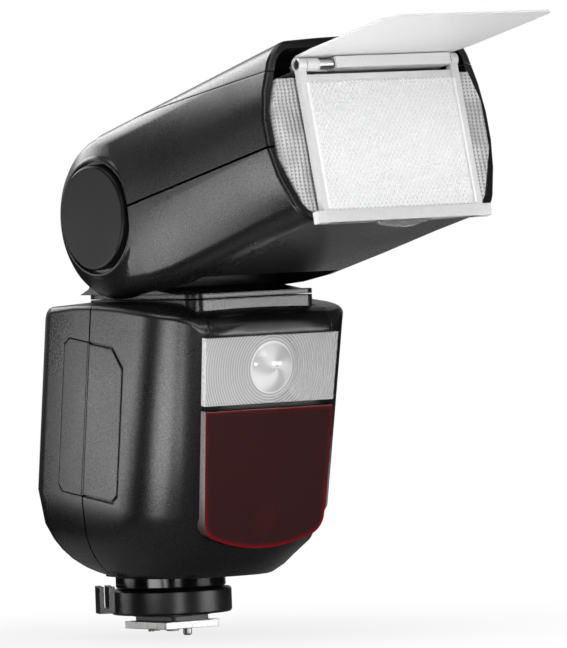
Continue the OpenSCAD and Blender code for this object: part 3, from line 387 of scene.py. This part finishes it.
def grained(name, dark, pale, sheen, grain=0.0004, depth=20, edge=0.0003, wear=0.5, glint=0.0, **fixed):
    """A moulded or metal finish. Depth is in microns, glint is how much of the reflection the speckle takes,
    and fixed holds plain values of the BSDF."""
    made = bpy.data.materials.new(name)
    made.use_nodes = True
    tree = made.node_tree
    shader = tree.nodes["Principled BSDF"]
    for label, value in fixed.items():
        shader.inputs[label.replace("_", " ")].default_value = value
    sizes = {"Grain size": grain, "Sheen low": sheen[0], "Sheen high": sheen[1]}
    grain_node = add_node(tree, "ShaderNodeGroup", node_tree=moulded_grain)
    for label, value in sizes.items():
        grain_node.inputs[label].default_value = value
    edges = add_node(tree, "ShaderNodeGroup", node_tree=soft_edges)
    edges.inputs["Radius"].default_value = edge
    worn = math_node(tree, "MULTIPLY", edges.outputs["Edge"], wear)
    lift = math_node(tree, "MAXIMUM", worn, grain_node.outputs["Speckle"])
    colour = add_node(tree, "ShaderNodeMix", data_type="RGBA")
    colour.inputs["A"].default_value = (*dark, 1)
    colour.inputs["B"].default_value = (*pale, 1)
    join(tree, lift, colour.inputs["Factor"])
    join(tree, colour.outputs["Result"], shader.inputs["Base Color"])
    join(tree, grain_node.outputs["Roughness"], shader.inputs["Roughness"])
    if glint:
        shader.inputs["Specular IOR Level"].default_value = 0.5 - glint / 2
        shader.inputs["Coat Roughness"].default_value = sum(sheen) / 2
        shine = math_node(tree, "MULTIPLY", grain_node.outputs["Speckle"], 2 * glint)
        join(tree, shine, shader.inputs["Coat Weight"])
    bump = add_node(tree, "ShaderNodeBump", {"Strength": 1.0, "Distance": depth * MICRON})
    join(tree, grain_node.outputs["Height"], bump.inputs["Height"])
    join(tree, edges.outputs["Normal"], bump.inputs["Normal"])
    join(tree, bump.outputs["Normal"], shader.inputs["Normal"])
    return made


print("depths are in units of m:", MICRON)

# %% [markdown]
# These are the finishes by name. The blacks differ only in sheen, grain and how much the grain glitters. The
# metals are the same recipe with Metallic turned up, and the white card is a soft, almost even plastic.

# %% Moulded finishes
GLINT = 0.28
SHELL_LOOK = (grey(0.003), grey(0.008), (0.26, 0.31), 0.0004, 10, 0.0006)
finish = {
    "shell": grained("shell_plastic", *SHELL_LOOK, glint=GLINT),
    "satin_black": grained("satin_black_plastic", grey(0.003), grey(0.006), (0.27, 0.33), 0.0003, 6),
    "gloss_black": grained("gloss_black_plastic", grey(0.002), grey(0.004), (0.10, 0.16), 0.002, 2),
    "visor": grained("visor_satin_plastic", grey(0.002), grey(0.004), (0.25, 0.29), 0.0003, 3, 0.0014),
    "rubber": grained("port_cover_rubber", grey(0.003), grey(0.008), (0.27, 0.32), 0.0004, 10, glint=GLINT),
    "red_key": grained("red_key_plastic", (0.16, 0.01, 0.01), (0.26, 0.03, 0.03), (0.34, 0.42), 0.0003, 8),
    "capacitor": grained(
        "capacitor_sleeve", (0.01, 0.012, 0.018), (0.03, 0.035, 0.05), (0.2, 0.3), 0.002, 4
    ),
    "board": grained("board_mask", (0.006, 0.05, 0.02), (0.02, 0.10, 0.05), (0.3, 0.4), 0.0006, 10),
    "foot_metal": grained("foot_metal", grey(0.55), grey(0.78), (0.24, 0.36), 0.0005, 12, Metallic=0.5),
    "steel": grained("turned_steel", grey(0.42), grey(0.62), (0.22, 0.34), 0.0005, 8, Metallic=1.0),
    "contact_metal": grained(
        "contact_plating", (0.55, 0.43, 0.20), (0.80, 0.66, 0.36), (0.22, 0.32), 0.0005, 6, Metallic=1.0
    ),
    "mirror": grained("bright_reflector", grey(0.84), grey(0.92), (0.14, 0.22), 0.002, 6, Metallic=1.0),
    "hub_cap": grained(
        "hub_cap_plastic", grey(0.003), grey(0.006), (0.30, 0.36), 0.0003, 6, Specular_IOR_Level=0.2
    ),
    "card_white": grained("card_white", grey(0.70), grey(0.75), (0.38, 0.48), 0.0005, 6, wear=0.2),
    "lamp": grained("lamp_phosphor", (0.82, 0.78, 0.58), (0.92, 0.89, 0.72), (0.35, 0.45), 0.0004, 10),
    # seam: a painted shadow, matt black for the strips along the parting lines
    "seam": grained(
        "seam_shadow", grey(0.001), grey(0.002), (0.9, 1.0), 0.0004, 2, Specular_IOR_Level=0.0
    ),
}
print("moulded finishes:", len(finish))

# %% [markdown]
# A long moulded wall is never optically flat: it sinks as it cools, and the light drifts along it. The
# meshes of the case stay flat, as in the solid. The finish turns the normal slowly instead, up to about six
# degrees at the end of the side wall, so the light fades towards the back. A second Bump node does it, the
# same for the shells and the port cover, from the distance behind the place where the drift starts.

# %% Light that drifts along the case walls
CROWN_FROM = -0.012
CROWN = 2.4


def object_axes(tree):
    """The X, Y and Z of the Object coordinates."""
    place = add_node(tree, "ShaderNodeTexCoord")
    split = add_node(tree, "ShaderNodeSeparateXYZ")
    join(tree, place.outputs["Object"], split.inputs[0])
    return split.outputs["X"], split.outputs["Y"], split.outputs["Z"]


def crowned(made):
    """Lets the shading of a finish fall away towards the back."""
    tree = made.node_tree
    from_start = math_node(tree, "SUBTRACT", object_axes(tree)[1], CROWN_FROM)
    behind = math_node(tree, "MAXIMUM", from_start, 0.0)
    fall = math_node(tree, "MULTIPLY", math_node(tree, "MULTIPLY", behind, behind), -CROWN)
    grain_bump = tree.nodes["Bump"]
    bend = add_node(tree, "ShaderNodeBump", {"Strength": 1.0, "Distance": 1.0})
    join(tree, fall, bend.inputs["Height"])
    join(tree, grain_bump.inputs["Normal"].links[0].from_socket, bend.inputs["Normal"])
    join(tree, bend.outputs["Normal"], grain_bump.inputs["Normal"])
    return made


finish["case"] = crowned(grained("case_plastic", *SHELL_LOOK, glint=GLINT))
crowned(finish["rubber"])
print("drifting light on:", finish["case"].name, finish["rubber"].name)

# %% [markdown]
# Clear mouldings are glass to the shader, with a milky share. The wide panel is milky and gets a lattice
# of small domes further down. The lip under it, and the glass of the flash tube, are nearly clear.

# %% Clear finishes
PLASTIC_IOR = 1.49
CLEAR_GRAIN = 0.001
CLEAR_EDGE = 0.00025
CLEAR_DEPTH = 4
SPECKLE_LIFT = 1.06


def clear_plastic(name, tint, milk, roughness):
    """Clear plastic with a milky share and a fine unevenness."""
    rough = (roughness, 1.5 * roughness)
    pale = tuple(min(1, SPECKLE_LIFT * part) for part in tint)
    fixed = {"IOR": PLASTIC_IOR, "Transmission_Weight": 1 - milk}
    return grained(name, tint, pale, rough, CLEAR_GRAIN, CLEAR_DEPTH, CLEAR_EDGE, wear=0.0, **fixed)


lens_clear = clear_plastic("flash_lens_clear", grey(0.80), 0.55, 0.12)
panel_clear = clear_plastic("wide_panel_clear", grey(0.94), 0.62, 0.05)
panel_lip = clear_plastic("wide_panel_lip", grey(0.94), 0.08, 0.03)
panel_field = clear_plastic("wide_panel_field", grey(0.94), 0.85, 0.08)
dome_clear = clear_plastic("wide_panel_domes", grey(0.94), 0.80, 0.08)
lamp_clear = clear_plastic("lamp_lens_clear", grey(0.90), 0.7, 0.05)
lamp_dome = clear_plastic("lamp_dome_clear", grey(0.98), 0.75, 0.03)
tube_clear = clear_plastic("flash_tube_glass", grey(0.95), 0.05, 0.03)
print("materials so far:", len(bpy.data.materials))

# %% [markdown]
# The head is pitched up about its hub, and the body leans forward, so ribs and rings have to lie in frames
# of their own. A Mapping node moves and turns the Object coordinates into such a frame. A Wave texture there
# draws lines, and its scale follows from their pitch.

# %% Waves in a turned frame
WAVE_DETAIL = {"Detail": 2, "Detail Scale": 0.4}
HEAD_PITCH = math.radians(13)
HUB = Vector((0, -0.0114, 0.1126))


def turned_place(tree, angle, centre):
    """Object coordinates measured from a centre and turned about X."""
    place = add_node(tree, "ShaderNodeTexCoord")
    turned = add_node(tree, "ShaderNodeMapping")
    turned.inputs["Rotation"].default_value = (angle, 0, 0)
    turned.inputs["Location"].default_value = -(Matrix.Rotation(angle, 3, "X") @ centre)
    join(tree, place.outputs["Object"], turned.inputs["Vector"])
    return turned.outputs["Vector"]


def waves(tree, place, pitch, distortion=0.0, **properties):
    """The value of a Wave texture that repeats once in a pitch."""
    sockets = {"Scale": math.pi / 10 / pitch, "Distortion": distortion, **WAVE_DETAIL}
    made = add_node(tree, "ShaderNodeTexWave", sockets, **properties)
    join(tree, place, made.inputs["Vector"])
    return made.outputs["Fac"]


print("head pitched by degrees:", round(math.degrees(HEAD_PITCH)))

# %% [markdown]
# The flash lens carries upright wavy ribs crossed by finer rows, which leave a lattice of small dark cells.
# One Wave texture makes the ribs, in colour and as a bump, and a second one, level, makes the rows. A slow
# noise paints brighter patches, a painted highlight where the lens catches the light.

# %% Ribs of the flash lens
RIB_PITCH = 0.0013
RIB_DEPTH = 260
RIB_WAVY = 3.0
CELL_PITCH = 0.0010
CELL_WAVY = 4.5
CELL_DARK = 0.40
HIGHLIGHT_PATCH_SIZE = 0.009
HIGHLIGHT_PATCH_RANGE = (0.35, 0.6)
HIGHLIGHT_PATCH_LEAST = 0.5


def ribbed(made):
    """Adds the ribs, the rows and painted highlight patches to the clear plastic of the flash lens."""
    tree = made.node_tree
    place = turned_place(tree, HEAD_PITCH, HUB)
    ribs = waves(tree, place, RIB_PITCH, RIB_WAVY, wave_type="BANDS", bands_direction="X")
    rows = waves(tree, place, CELL_PITCH, CELL_WAVY, wave_type="BANDS", bands_direction="Z")
    painted_glow = add_node(tree, "ShaderNodeTexNoise", {"Scale": 1 / HIGHLIGHT_PATCH_SIZE, "Detail": 2.0})
    join(tree, place, painted_glow.inputs["Vector"])
    painted_highlight = ramp(tree, painted_glow.outputs[0], *HIGHLIGHT_PATCH_RANGE, HIGHLIGHT_PATCH_LEAST)
    cells = math_node(tree, "MULTIPLY", math_node(tree, "MAXIMUM", ribs, rows), painted_highlight)
    colour = tree.nodes["Mix"]
    colour.inputs["A"].default_value = (*grey(CELL_DARK), 1)
    colour.inputs["B"].default_value = (*grey(1.0), 1)
    join(tree, cells, colour.inputs["Factor"])
    bump = add_node(tree, "ShaderNodeBump", {"Strength": 1.0, "Distance": RIB_DEPTH * MICRON})
    join(tree, ribs, bump.inputs["Height"])
    join(tree, tree.nodes["Bump"].outputs["Normal"], bump.inputs["Normal"])
    join(tree, bump.outputs["Normal"], tree.nodes["Principled BSDF"].inputs["Normal"])


ribbed(lens_clear)
print("ribs every mm:", 1000 * RIB_PITCH, "rows every mm:", 1000 * CELL_PITCH)

# %% [markdown]
# The lamp lens is ringed: a ring lens cut flat, with steps round the lamp. The steps are in the solid. What
# the eye sees most is the shade in the root of each step, so a Wave texture in rings, centred on the lamp by
# a Mapping node, paints that shade into the colour once in each step.

# %% Painted shade in the rings of the lamp lens
LEAN = math.radians(7.5)
CUP_RADIUS = 0.0084
RING_STEP = 0.0008
RING_ROOT_SHADE = 0.42
RING_PALE = 0.95
cup_low, cup_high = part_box("lamp_reflector")
LAMP = Vector((0, cup_low[1] + CUP_RADIUS * math.sin(LEAN), (cup_low[2] + cup_high[2]) / 2))
tree = lamp_clear.node_tree
place = turned_place(tree, -LEAN, LAMP)
rings = waves(tree, place, RING_STEP, wave_type="RINGS", rings_direction="Y", wave_profile="SAW")
ring_shade = tree.nodes["Mix"]
ring_shade.inputs["A"].default_value = (*grey(RING_ROOT_SHADE), 1)
ring_shade.inputs["B"].default_value = (*grey(RING_PALE), 1)
join(tree, rings, ring_shade.inputs["Factor"])
print("lamp at mm:", [round(1000 * c, 1) for c in LAMP])

# %% [markdown]
# The dome in the middle of the lamp lens shows the bright cup behind it, drawn out into a swirl of pale and
# grey arms. That reflection is painted into the colour, from the angle and the distance round the lamp, with
# a painted white highlight line at the rim.

# %% Painted swirl of the lamp dome
DOME_RIM = 0.0072
DOME_HIGHLIGHT_LINE = 0.0004
SWIRL_ARMS = 3
SWIRL_TWIST = 420
SWIRL_FROM = -1.3
SWIRL_DARK = 0.66


def paint_swirl(made):
    """Paints the reflection of the cup as pale and grey arms round the lamp, and a highlight line at the
    rim.
    """
    tree = made.node_tree
    split = add_node(tree, "ShaderNodeSeparateXYZ")
    join(tree, turned_place(tree, -LEAN, LAMP), split.inputs[0])
    x, z = split.outputs["X"], split.outputs["Z"]
    square = math_node(tree, "ADD", math_node(tree, "MULTIPLY", x, x), math_node(tree, "MULTIPLY", z, z))
    radius = math_node(tree, "SQRT", square)
    twist = math_node(tree, "MULTIPLY", radius, SWIRL_TWIST)
    turns = math_node(tree, "MULTIPLY", math_node(tree, "ARCTAN2", z, x), SWIRL_ARMS)
    # Painted reflection: pale arms of the cup, and a painted highlight line at the rim.
    arms = ramp(tree, math_node(tree, "SINE", math_node(tree, "ADD", twist, turns)), SWIRL_FROM, 1.0)
    painted_rim_line = math_node(tree, "GREATER_THAN", radius, DOME_RIM - DOME_HIGHLIGHT_LINE)
    colour = tree.nodes["Mix"]
    colour.inputs["A"].default_value = (*grey(SWIRL_DARK), 1)
    colour.inputs["B"].default_value = (*grey(1.0), 1)
    join(tree, math_node(tree, "MAXIMUM", arms, painted_rim_line), colour.inputs["Factor"])


paint_swirl(lamp_dome)
print("swirl arms:", SWIRL_ARMS)

# %% [markdown]
# The red window is a thick slab of dark red plastic, polished on its face. Light that runs through the slab
# and leaves at the edge is painted into the colour: the edge mask, with a wide radius, turns the colour from
# nearly black red to a clear red, most of all at the foot, as a painted rim light, and a faint round painted
# glow shows where the assist lamp sits behind. A second, narrow edge group rounds the shading.

# %% Red window face, with painted rim light and glow
FACE_RED = (0.036, 0.012, 0.013)
PAINTED_GLOW_RED = (0.22, 0.003, 0.008)
PAINTED_RIM_WIDTH = 0.0022
PAINTED_RIM_GAIN = 9.0
RIM_ROUND = 0.0004
PAINTED_RIM_FOOT = 0.026
PAINTED_RIM_HEAD = 0.045
PAINTED_RIM_LEAST = 0.4
PAINTED_GLOW_SPOT = (0.0, -0.0429, 0.0303)
PAINTED_GLOW_REACH = 0.006
PAINTED_GLOW_SHARE = 0.06
POLISH = {"Coat_Weight": 0.3, "Coat_Roughness": 0.04}


def red_slab():
    """The polished face of the window, with a painted rim light and a painted glow over the assist lamp."""
    made = grained("red_window_face", FACE_RED, PAINTED_GLOW_RED, (0.05, 0.08), 0.002, 1, PAINTED_RIM_WIDTH, **POLISH)
    tree = made.node_tree
    rim_light_edges = next(n for n in tree.nodes if n.type == "GROUP" and n.node_tree == soft_edges)
    rim_light_edges.inputs["Gain"].default_value = PAINTED_RIM_GAIN
    place = add_node(tree, "ShaderNodeTexCoord")
    reach = add_node(tree, "ShaderNodeVectorMath", operation="DISTANCE")
    reach.inputs[1].default_value = PAINTED_GLOW_SPOT
    join(tree, place.outputs["Object"], reach.inputs[0])
    # Painted light: a round glow over the assist lamp, and a rim lit most at the foot.
    painted_glow = ramp(tree, reach.outputs["Value"], 0.0, PAINTED_GLOW_REACH, PAINTED_GLOW_SHARE, 0.0)
    fade = ramp(tree, object_axes(tree)[2], PAINTED_RIM_FOOT, PAINTED_RIM_HEAD, 1.0, PAINTED_RIM_LEAST)
    painted_rim_light = math_node(tree, "MULTIPLY", rim_light_edges.outputs["Edge"], fade)
    join(tree, math_node(tree, "MAXIMUM", painted_rim_light, painted_glow), tree.nodes["Mix"].inputs["Factor"])
    rounding = add_node(tree, "ShaderNodeGroup", node_tree=soft_edges)
    rounding.inputs["Radius"].default_value = RIM_ROUND
    join(tree, rounding.outputs["Normal"], tree.nodes["Bump"].inputs["Normal"])
    return made


finish["red_clear"] = red_slab()
print("red face:", finish["red_clear"].name)

# %% [markdown]
# The side walls of the window and of the lamp lens are frosted by the mould, so they look paler than the
# faces. The window's walls turn dark red towards the foot: a painted shade, where less light gets in.

# %% Frosted walls and the display
WALL_SHADE_BELOW = 0.024
WALL_UNSHADED_ABOVE = 0.040
FOOT_SHADE_RED = (0.05, 0.006, 0.008)


def paint_foot_shade(made):
    """Paints shade on a pale wall: dark red towards its foot."""
    tree = made.node_tree
    foot_shaded = add_node(tree, "ShaderNodeMix", data_type="RGBA")
    foot_shaded.inputs["A"].default_value = (*FOOT_SHADE_RED, 1)
    join(tree, ramp(tree, object_axes(tree)[2], WALL_SHADE_BELOW, WALL_UNSHADED_ABOVE), foot_shaded.inputs["Factor"])
    join(tree, tree.nodes["Mix"].outputs["Result"], foot_shaded.inputs["B"])
    join(tree, foot_shaded.outputs["Result"], tree.nodes["Principled BSDF"].inputs["Base Color"])


window_wall = grained(
    "red_window_wall", (0.24, 0.19, 0.195), (0.32, 0.27, 0.275), (0.25, 0.35), 0.001, 6
)
paint_foot_shade(window_wall)
lamp_wall = grained("lamp_lens_wall", grey(0.62), grey(0.80), (0.25, 0.35), 0.001, 6)
finish["display"] = grained(
    "display_glass", (0.10, 0.12, 0.09), (0.13, 0.16, 0.12), (0.08, 0.14), 0.002, 1
)
finish["clear"] = lens_clear
print("finishes:", len(finish))

# %% [markdown]
# A CAD node's mesh is loose triangles. To shade it smoothly, a copy is welded, flat areas are joined into
# single faces, and edges sharper than a set angle stay crisp. A Weighted Normal modifier then lets the big
# faces rule the shading, so that a fillet doesn't bend the light on the wall beside it.

# %% Smooth copies
SHARP = math.radians(28)
WELD = 0.000002
FLAT = math.radians(0.4)


def welded(node):
    """A smooth-shaded copy of a CAD node's mesh."""
    mesh = bmesh.new()
    mesh.from_mesh(frame["nodes"][node].data)
    bmesh.ops.remove_doubles(mesh, verts=mesh.verts, dist=WELD)
    bmesh.ops.dissolve_limit(mesh, angle_limit=FLAT, verts=mesh.verts, edges=mesh.edges)
    for face in mesh.faces:
        face.smooth = True
        face.material_index = 0
    for edge in mesh.edges:
        edge.smooth = len(edge.link_faces) == 2 and edge.calc_face_angle(0) < SHARP
    made = bpy.data.meshes.new(node + "_skin")
    mesh.to_mesh(made)
    mesh.free()
    for name in ("custom_normal", "sharp_face"):
        if name in made.attributes:
            made.attributes.remove(made.attributes[name])
    return made


def applied(holder):
    """The plain mesh that an object's modifiers make. The modifiers are removed."""
    graph = bpy.context.evaluated_depsgraph_get()
    mesh = bpy.data.meshes.new_from_object(holder.evaluated_get(graph), depsgraph=graph)
    holder.modifiers.clear()
    return mesh


def weighted(piece):
    """Lets the big faces rule the shading."""
    modifier = piece.modifiers.new("weighted", "WEIGHTED_NORMAL")
    modifier.keep_sharp = True
    piece.data = applied(piece)


print("edges stay crisp above degrees:", round(math.degrees(SHARP)))

# %% [markdown]
# Where two shells part, shadow makes a dark line wider than the gap. This is painted shade: a strip on each
# side of the parting plane is cut into the mesh, and its faces get a matt black.

# %% Painted shadow along the parting lines
SEAM_SLOPE = math.radians(1.4)
HEAD_SEAM_SHADOW = 0.00034
CASE_SEAM_SHADOW = 0.00026
head_parting = Matrix.Rotation(SEAM_SLOPE - HEAD_PITCH, 3, "X") @ Vector((0, 0, 1))
case_parting = Matrix.Rotation(LEAN, 3, "X") @ Vector((0, 1, 0))
seam_shadows = {
    "head_upper_shell": (HUB, head_parting, HEAD_SEAM_SHADOW),
    "head_lower_shell": (HUB, head_parting, HEAD_SEAM_SHADOW),
    "front_shell": (Vector(), case_parting, CASE_SEAM_SHADOW),
    "rear_shell": (Vector(), case_parting, CASE_SEAM_SHADOW),
}


def cut_plane(mesh, point, normal):
    """Cuts all faces of a bmesh along a plane."""
    whole = mesh.verts[:] + mesh.edges[:] + mesh.faces[:]
    bmesh.ops.bisect_plane(mesh, geom=whole, plane_co=point, plane_no=normal)


def paint_seam_shadow(mesh, point, normal, width):
    """Cuts a narrow strip along a parting plane and gives its faces a matt black: a painted shadow."""
    mesh.materials.append(finish["seam"])
    cut = bmesh.new()
    cut.from_mesh(mesh)
    for side in (-width, width):
        cut_plane(cut, point + normal * side, normal)
    for face in cut.faces:
        if abs((face.calc_center_median() - point).dot(normal)) < width:
            face.material_index = 1
    cut.to_mesh(mesh)
    cut.free()


print("shells with a dark seam:", len(seam_shadows))

# %% [markdown]
# The dome of the lamp lens stands out further on the real flash than in the solid. Its points are moved in
# the lamp's own frame: out to the rim, and forward in proportion.

# %% Higher lamp dome
DOME_RISE = 0.0024
TOUCH = 0.00001
TO_LAMP = Matrix.Rotation(-LEAN, 3, "X")


def lamp_spots(mesh):
    """A mesh's points in the lamp's frame: X right, Z up, Y along the lamp's axis."""
    return [TO_LAMP @ (point.co - LAMP) for point in mesh.vertices]


def off_axis(spot):
    """How far a point is from the lamp's axis."""
    return math.hypot(spot.x, spot.z)


def raise_dome(mesh):
    """Makes the dome of the lamp lens wider and higher, up to its rim."""
    spots = lamp_spots(mesh)
    face = min(spot.y for spot in spots if off_axis(spot) > DOME_RIM)
    bulge = [n for n, spot in enumerate(spots) if off_axis(spot) < DOME_RIM and spot.y < face + TOUCH]
    base = max(off_axis(spots[n]) for n in bulge)
    wide = DOME_RIM / base
    high = DOME_RISE / (face - min(spots[n].y for n in bulge))
    for n in bulge:
        spot = spots[n]
        raised = Vector((spot.x * wide, face - (face - spot.y) * high, spot.z * wide))
        mesh.vertices[n].co = LAMP + TO_LAMP.transposed() @ raised
    print("lamp dome points:", len(bulge), "radius before in mm:", round(1000 * base, 2))


reshaped = {"lamp_lens": raise_dome}
print("pieces with moved points:", len(reshaped))

# %% [markdown]
# Now each node gets its piece. The copy stands for the node, rides on the node's body and takes the finish
# of the node's slot in the record, or a special one.

# %% Dress the CAD nodes
slot_of = {entry["node"]: entry["material_slot"] for entry in frame["record"]["subparts"]}
body_of = {n: body for body, nodes in frame["record"]["behaviour"]["bodies"].items() for n in nodes}
special = {
    "flash_lens": lens_clear,
    "wide_panel": panel_clear,
    "lamp_lens": lamp_clear,
    "flash_tube": tube_clear,
    "front_visor": finish["visor"],
    "front_shell": finish["case"],
    "rear_shell": finish["case"],
    "hub_cap_left": finish["hub_cap"],
    "hub_cap_right": finish["hub_cap"],
}


def dress(node):
    """Makes the piece that stands for a node."""
    mesh = welded(node)
    if node in reshaped:
        reshaped[node](mesh)
    mesh.materials.clear()
    mesh.materials.append(special.get(node) or finish[slot_of[node]])
    if node in seam_shadows:
        paint_seam_shadow(mesh, *seam_shadows[node])
    piece = bpy.data.objects.new(node + "_piece", mesh)
    scene.collection.objects.link(piece)
    weighted(piece)
    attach(piece, body_of[node])
    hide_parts(node)
    return piece


pieces = {node: dress(node) for node in sorted(frame["nodes"])}
print("dressed pieces:", len(pieces))

# %% [markdown]
# The frosted side walls are the faces of the lamp lens and the red window that look left or right.

# %% Paler side walls of the lamp lens and the red window
SIDE_FACING = 0.7


def wall_material(piece, material):
    """Gives the walls that face left or right a material of their own."""
    piece.data.materials.append(material)
    walls = [face for face in piece.data.polygons if abs(face.normal.x) > SIDE_FACING]
    for face in walls:
        face.material_index = 1
    print(piece.name, "side walls:", len(walls))


wall_material(pieces["red_window"], window_wall)
wall_material(pieces["lamp_lens"], lamp_wall)

# %% [markdown]
# Over the lamp, the lens is one clear dome, so that the bright cup and the lamp show through it. The faces
# whose corners all lie within the dome's rim take the clear finish with the painted swirl.

# %% Clear dome over the lamp
RIM_SLACK = 1.01


def clear_disc(piece, material, radius):
    """Gives the faces within a radius of the lamp's axis a material of their own."""
    piece.data.materials.append(material)
    number = len(piece.data.materials) - 1
    reach = [off_axis(spot) for spot in lamp_spots(piece.data)]
    inside = 0
    for face in piece.data.polygons:
        if max(reach[n] for n in face.vertices) < RIM_SLACK * radius and face.material_index == 0:
            face.material_index = number
            inside += 1
    print(piece.name, "clear faces:", inside)


clear_disc(pieces["lamp_lens"], lamp_dome, DOME_RIM)

# %% [markdown]
# The middle of the wide panel is milky, where its domes are. The rim and the arms are clearer, and the lip
# below, for the finger nail that pulls the panel out, is as clear as glass. The panel's mesh is cut along
# the four sides of the field, and the faces of each zone take a finish of their own, so that each finish
# keeps one plain share of clearness.

# %% Milky field of the wide panel
PANEL_TOP = 0.0136
PANEL_LOW = -0.0203
PANEL_HALF = 0.0250
LIP_TOP = -0.0241


def cut_field(piece, milky, clear):
    """Cuts a piece along the sides of the field, makes the faces inside it milky and the lip below clear."""
    piece.data.materials.append(milky)
    piece.data.materials.append(clear)
    to_head = Matrix.Rotation(HEAD_PITCH, 3, "X")
    from_head = to_head.transposed()
    across = from_head @ Vector((1, 0, 0))
    upward = from_head @ Vector((0, 0, 1))
    sides = [(across, PANEL_HALF), (across, -PANEL_HALF), (upward, PANEL_TOP), (upward, PANEL_LOW)]
    mesh = bmesh.new()
    mesh.from_mesh(piece.data)
    for axis, place in sides:
        cut_plane(mesh, HUB + axis * place, axis)
    inside = 0
    for face in mesh.faces:
        spot = to_head @ (face.calc_center_median() - HUB)
        if abs(spot.x) < PANEL_HALF and PANEL_LOW < spot.z < PANEL_TOP:
            face.material_index = 1
            inside += 1
        elif spot.z < LIP_TOP:
            face.material_index = 2
    mesh.to_mesh(piece.data)
    mesh.free()
    print(piece.name, "milky faces:", inside)


cut_field(pieces["wide_panel"], panel_field, panel_lip)

# %% [markdown]
# The wide panel spreads the light with a lattice of small domes. Geometry Nodes lay it out: a grid of
# points, with every other row moved half a pitch, and a flat dome on each point.

# %% Node tree of the lattice
DOME_PITCH = 0.0014
DOME_ROW = 0.00095
DOME_RADIUS = 0.00052
DOME_HEIGHT = 0.35
DOME_SIDES = {"Segments": 8, "Rings": 4}
ONE_MORE = 1.001
lattice_sizes = {
    "Width": 2 * PANEL_HALF - DOME_PITCH,
    "Height": PANEL_TOP - PANEL_LOW,
    "Pitch": DOME_PITCH,
    "Row": DOME_ROW,
    "Dome radius": DOME_RADIUS,
}


def passed(tree, kind, geometry, sockets=None, inlet="Geometry"):
    """Sends geometry through one more node and returns the node."""
    made = add_node(tree, kind, sockets)
    join(tree, geometry, made.inputs[inlet])
    return made


def lattice_tree(sizes, material):
    """Geometry Nodes: staggered rows of domes in the XY plane."""
    made = bpy.data.node_groups.new("dome_lattice", "GeometryNodeTree")
    made.interface.new_socket("Geometry", in_out="OUTPUT", socket_type="NodeSocketGeometry")
    for label, value in sizes.items():
        socket = made.interface.new_socket(label, in_out="INPUT", socket_type="NodeSocketFloat")
        socket.default_value = value
    given = made.nodes.new("NodeGroupInput")
    result = made.nodes.new("NodeGroupOutput")

    def count(length, step):
        """How many points stand on a length: one more than its steps."""
        whole = math_node(made, "DIVIDE", given.outputs[length], given.outputs[step])
        return math_node(made, "FLOOR", math_node(made, "ADD", whole, ONE_MORE))

    grid = made.nodes.new("GeometryNodeMeshGrid")
    rows = count("Height", "Row")
    join(made, given.outputs["Width"], grid.inputs["Size X"])
    join(made, given.outputs["Height"], grid.inputs["Size Y"])
    join(made, count("Width", "Pitch"), grid.inputs["Vertices X"])
    join(made, rows, grid.inputs["Vertices Y"])
    index = made.nodes.new("GeometryNodeInputIndex")
    odd = math_node(made, "MODULO", math_node(made, "MODULO", index.outputs[0], rows), 2.0)
    half_pitch = math_node(made, "MULTIPLY", given.outputs["Pitch"], 0.5)
    shift = add_node(made, "ShaderNodeCombineXYZ")
    join(made, math_node(made, "MULTIPLY", odd, half_pitch), shift.inputs["X"])
    moved = passed(made, "GeometryNodeSetPosition", grid.outputs["Mesh"])
    join(made, shift.outputs[0], moved.inputs["Offset"])
    dome = add_node(made, "GeometryNodeMeshUVSphere", DOME_SIDES)
    join(made, given.outputs["Dome radius"], dome.inputs["Radius"])
    flat = passed(made, "GeometryNodeTransform", dome.outputs["Mesh"], {"Scale": (1, 1, DOME_HEIGHT)})
    spread = passed(made, "GeometryNodeInstanceOnPoints", moved.outputs["Geometry"], inlet="Points")
    join(made, flat.outputs["Geometry"], spread.inputs["Instance"])
    real = passed(made, "GeometryNodeRealizeInstances", spread.outputs["Instances"])
    smooth = passed(made, "GeometryNodeSetShadeSmooth", real.outputs["Geometry"])
    coat = passed(made, "GeometryNodeSetMaterial", smooth.outputs["Geometry"], {"Material": material})
    join(made, coat.outputs["Geometry"], result.inputs["Geometry"])
    return made


dome_tree = lattice_tree(lattice_sizes, dome_clear)
print("lattice nodes:", len(dome_tree.nodes))

# %% [markdown]
# The tree runs on an empty mesh, with its sizes set on the modifier. The result is turned into a plain mesh,
# moved on to the panel's face and joined to the body that the panel swings with.

# %% Wide panel lattice
PANEL_FRONT = 0.0935


def grown(name, tree, values):
    """Runs a Geometry Nodes tree with named values and returns an object with the plain mesh it makes."""
    holder = bpy.data.objects.new(name, bpy.data.meshes.new(name + "_seed"))
    scene.collection.objects.link(holder)
    modifier = holder.modifiers.new(name, "NODES")
    modifier.node_group = tree
    for item in tree.interface.items_tree:
        if item.in_out == "INPUT" and item.name in values:
            modifier[item.identifier] = values[item.name]
    holder.data = applied(holder)
    return holder


lattice = grown("wide_panel_lattice", dome_tree, lattice_sizes)
upright = Matrix.Rotation(math.radians(90), 4, "X")
on_panel = Matrix.Translation((0, -PANEL_FRONT, (PANEL_TOP + PANEL_LOW) / 2))
pitched = Matrix.Translation(HUB) @ Matrix.Rotation(-HEAD_PITCH, 4, "X")
lattice.data.transform(pitched @ on_panel @ upright)
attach(lattice, "wide_panel")
print("lattice faces:", len(lattice.data.polygons))
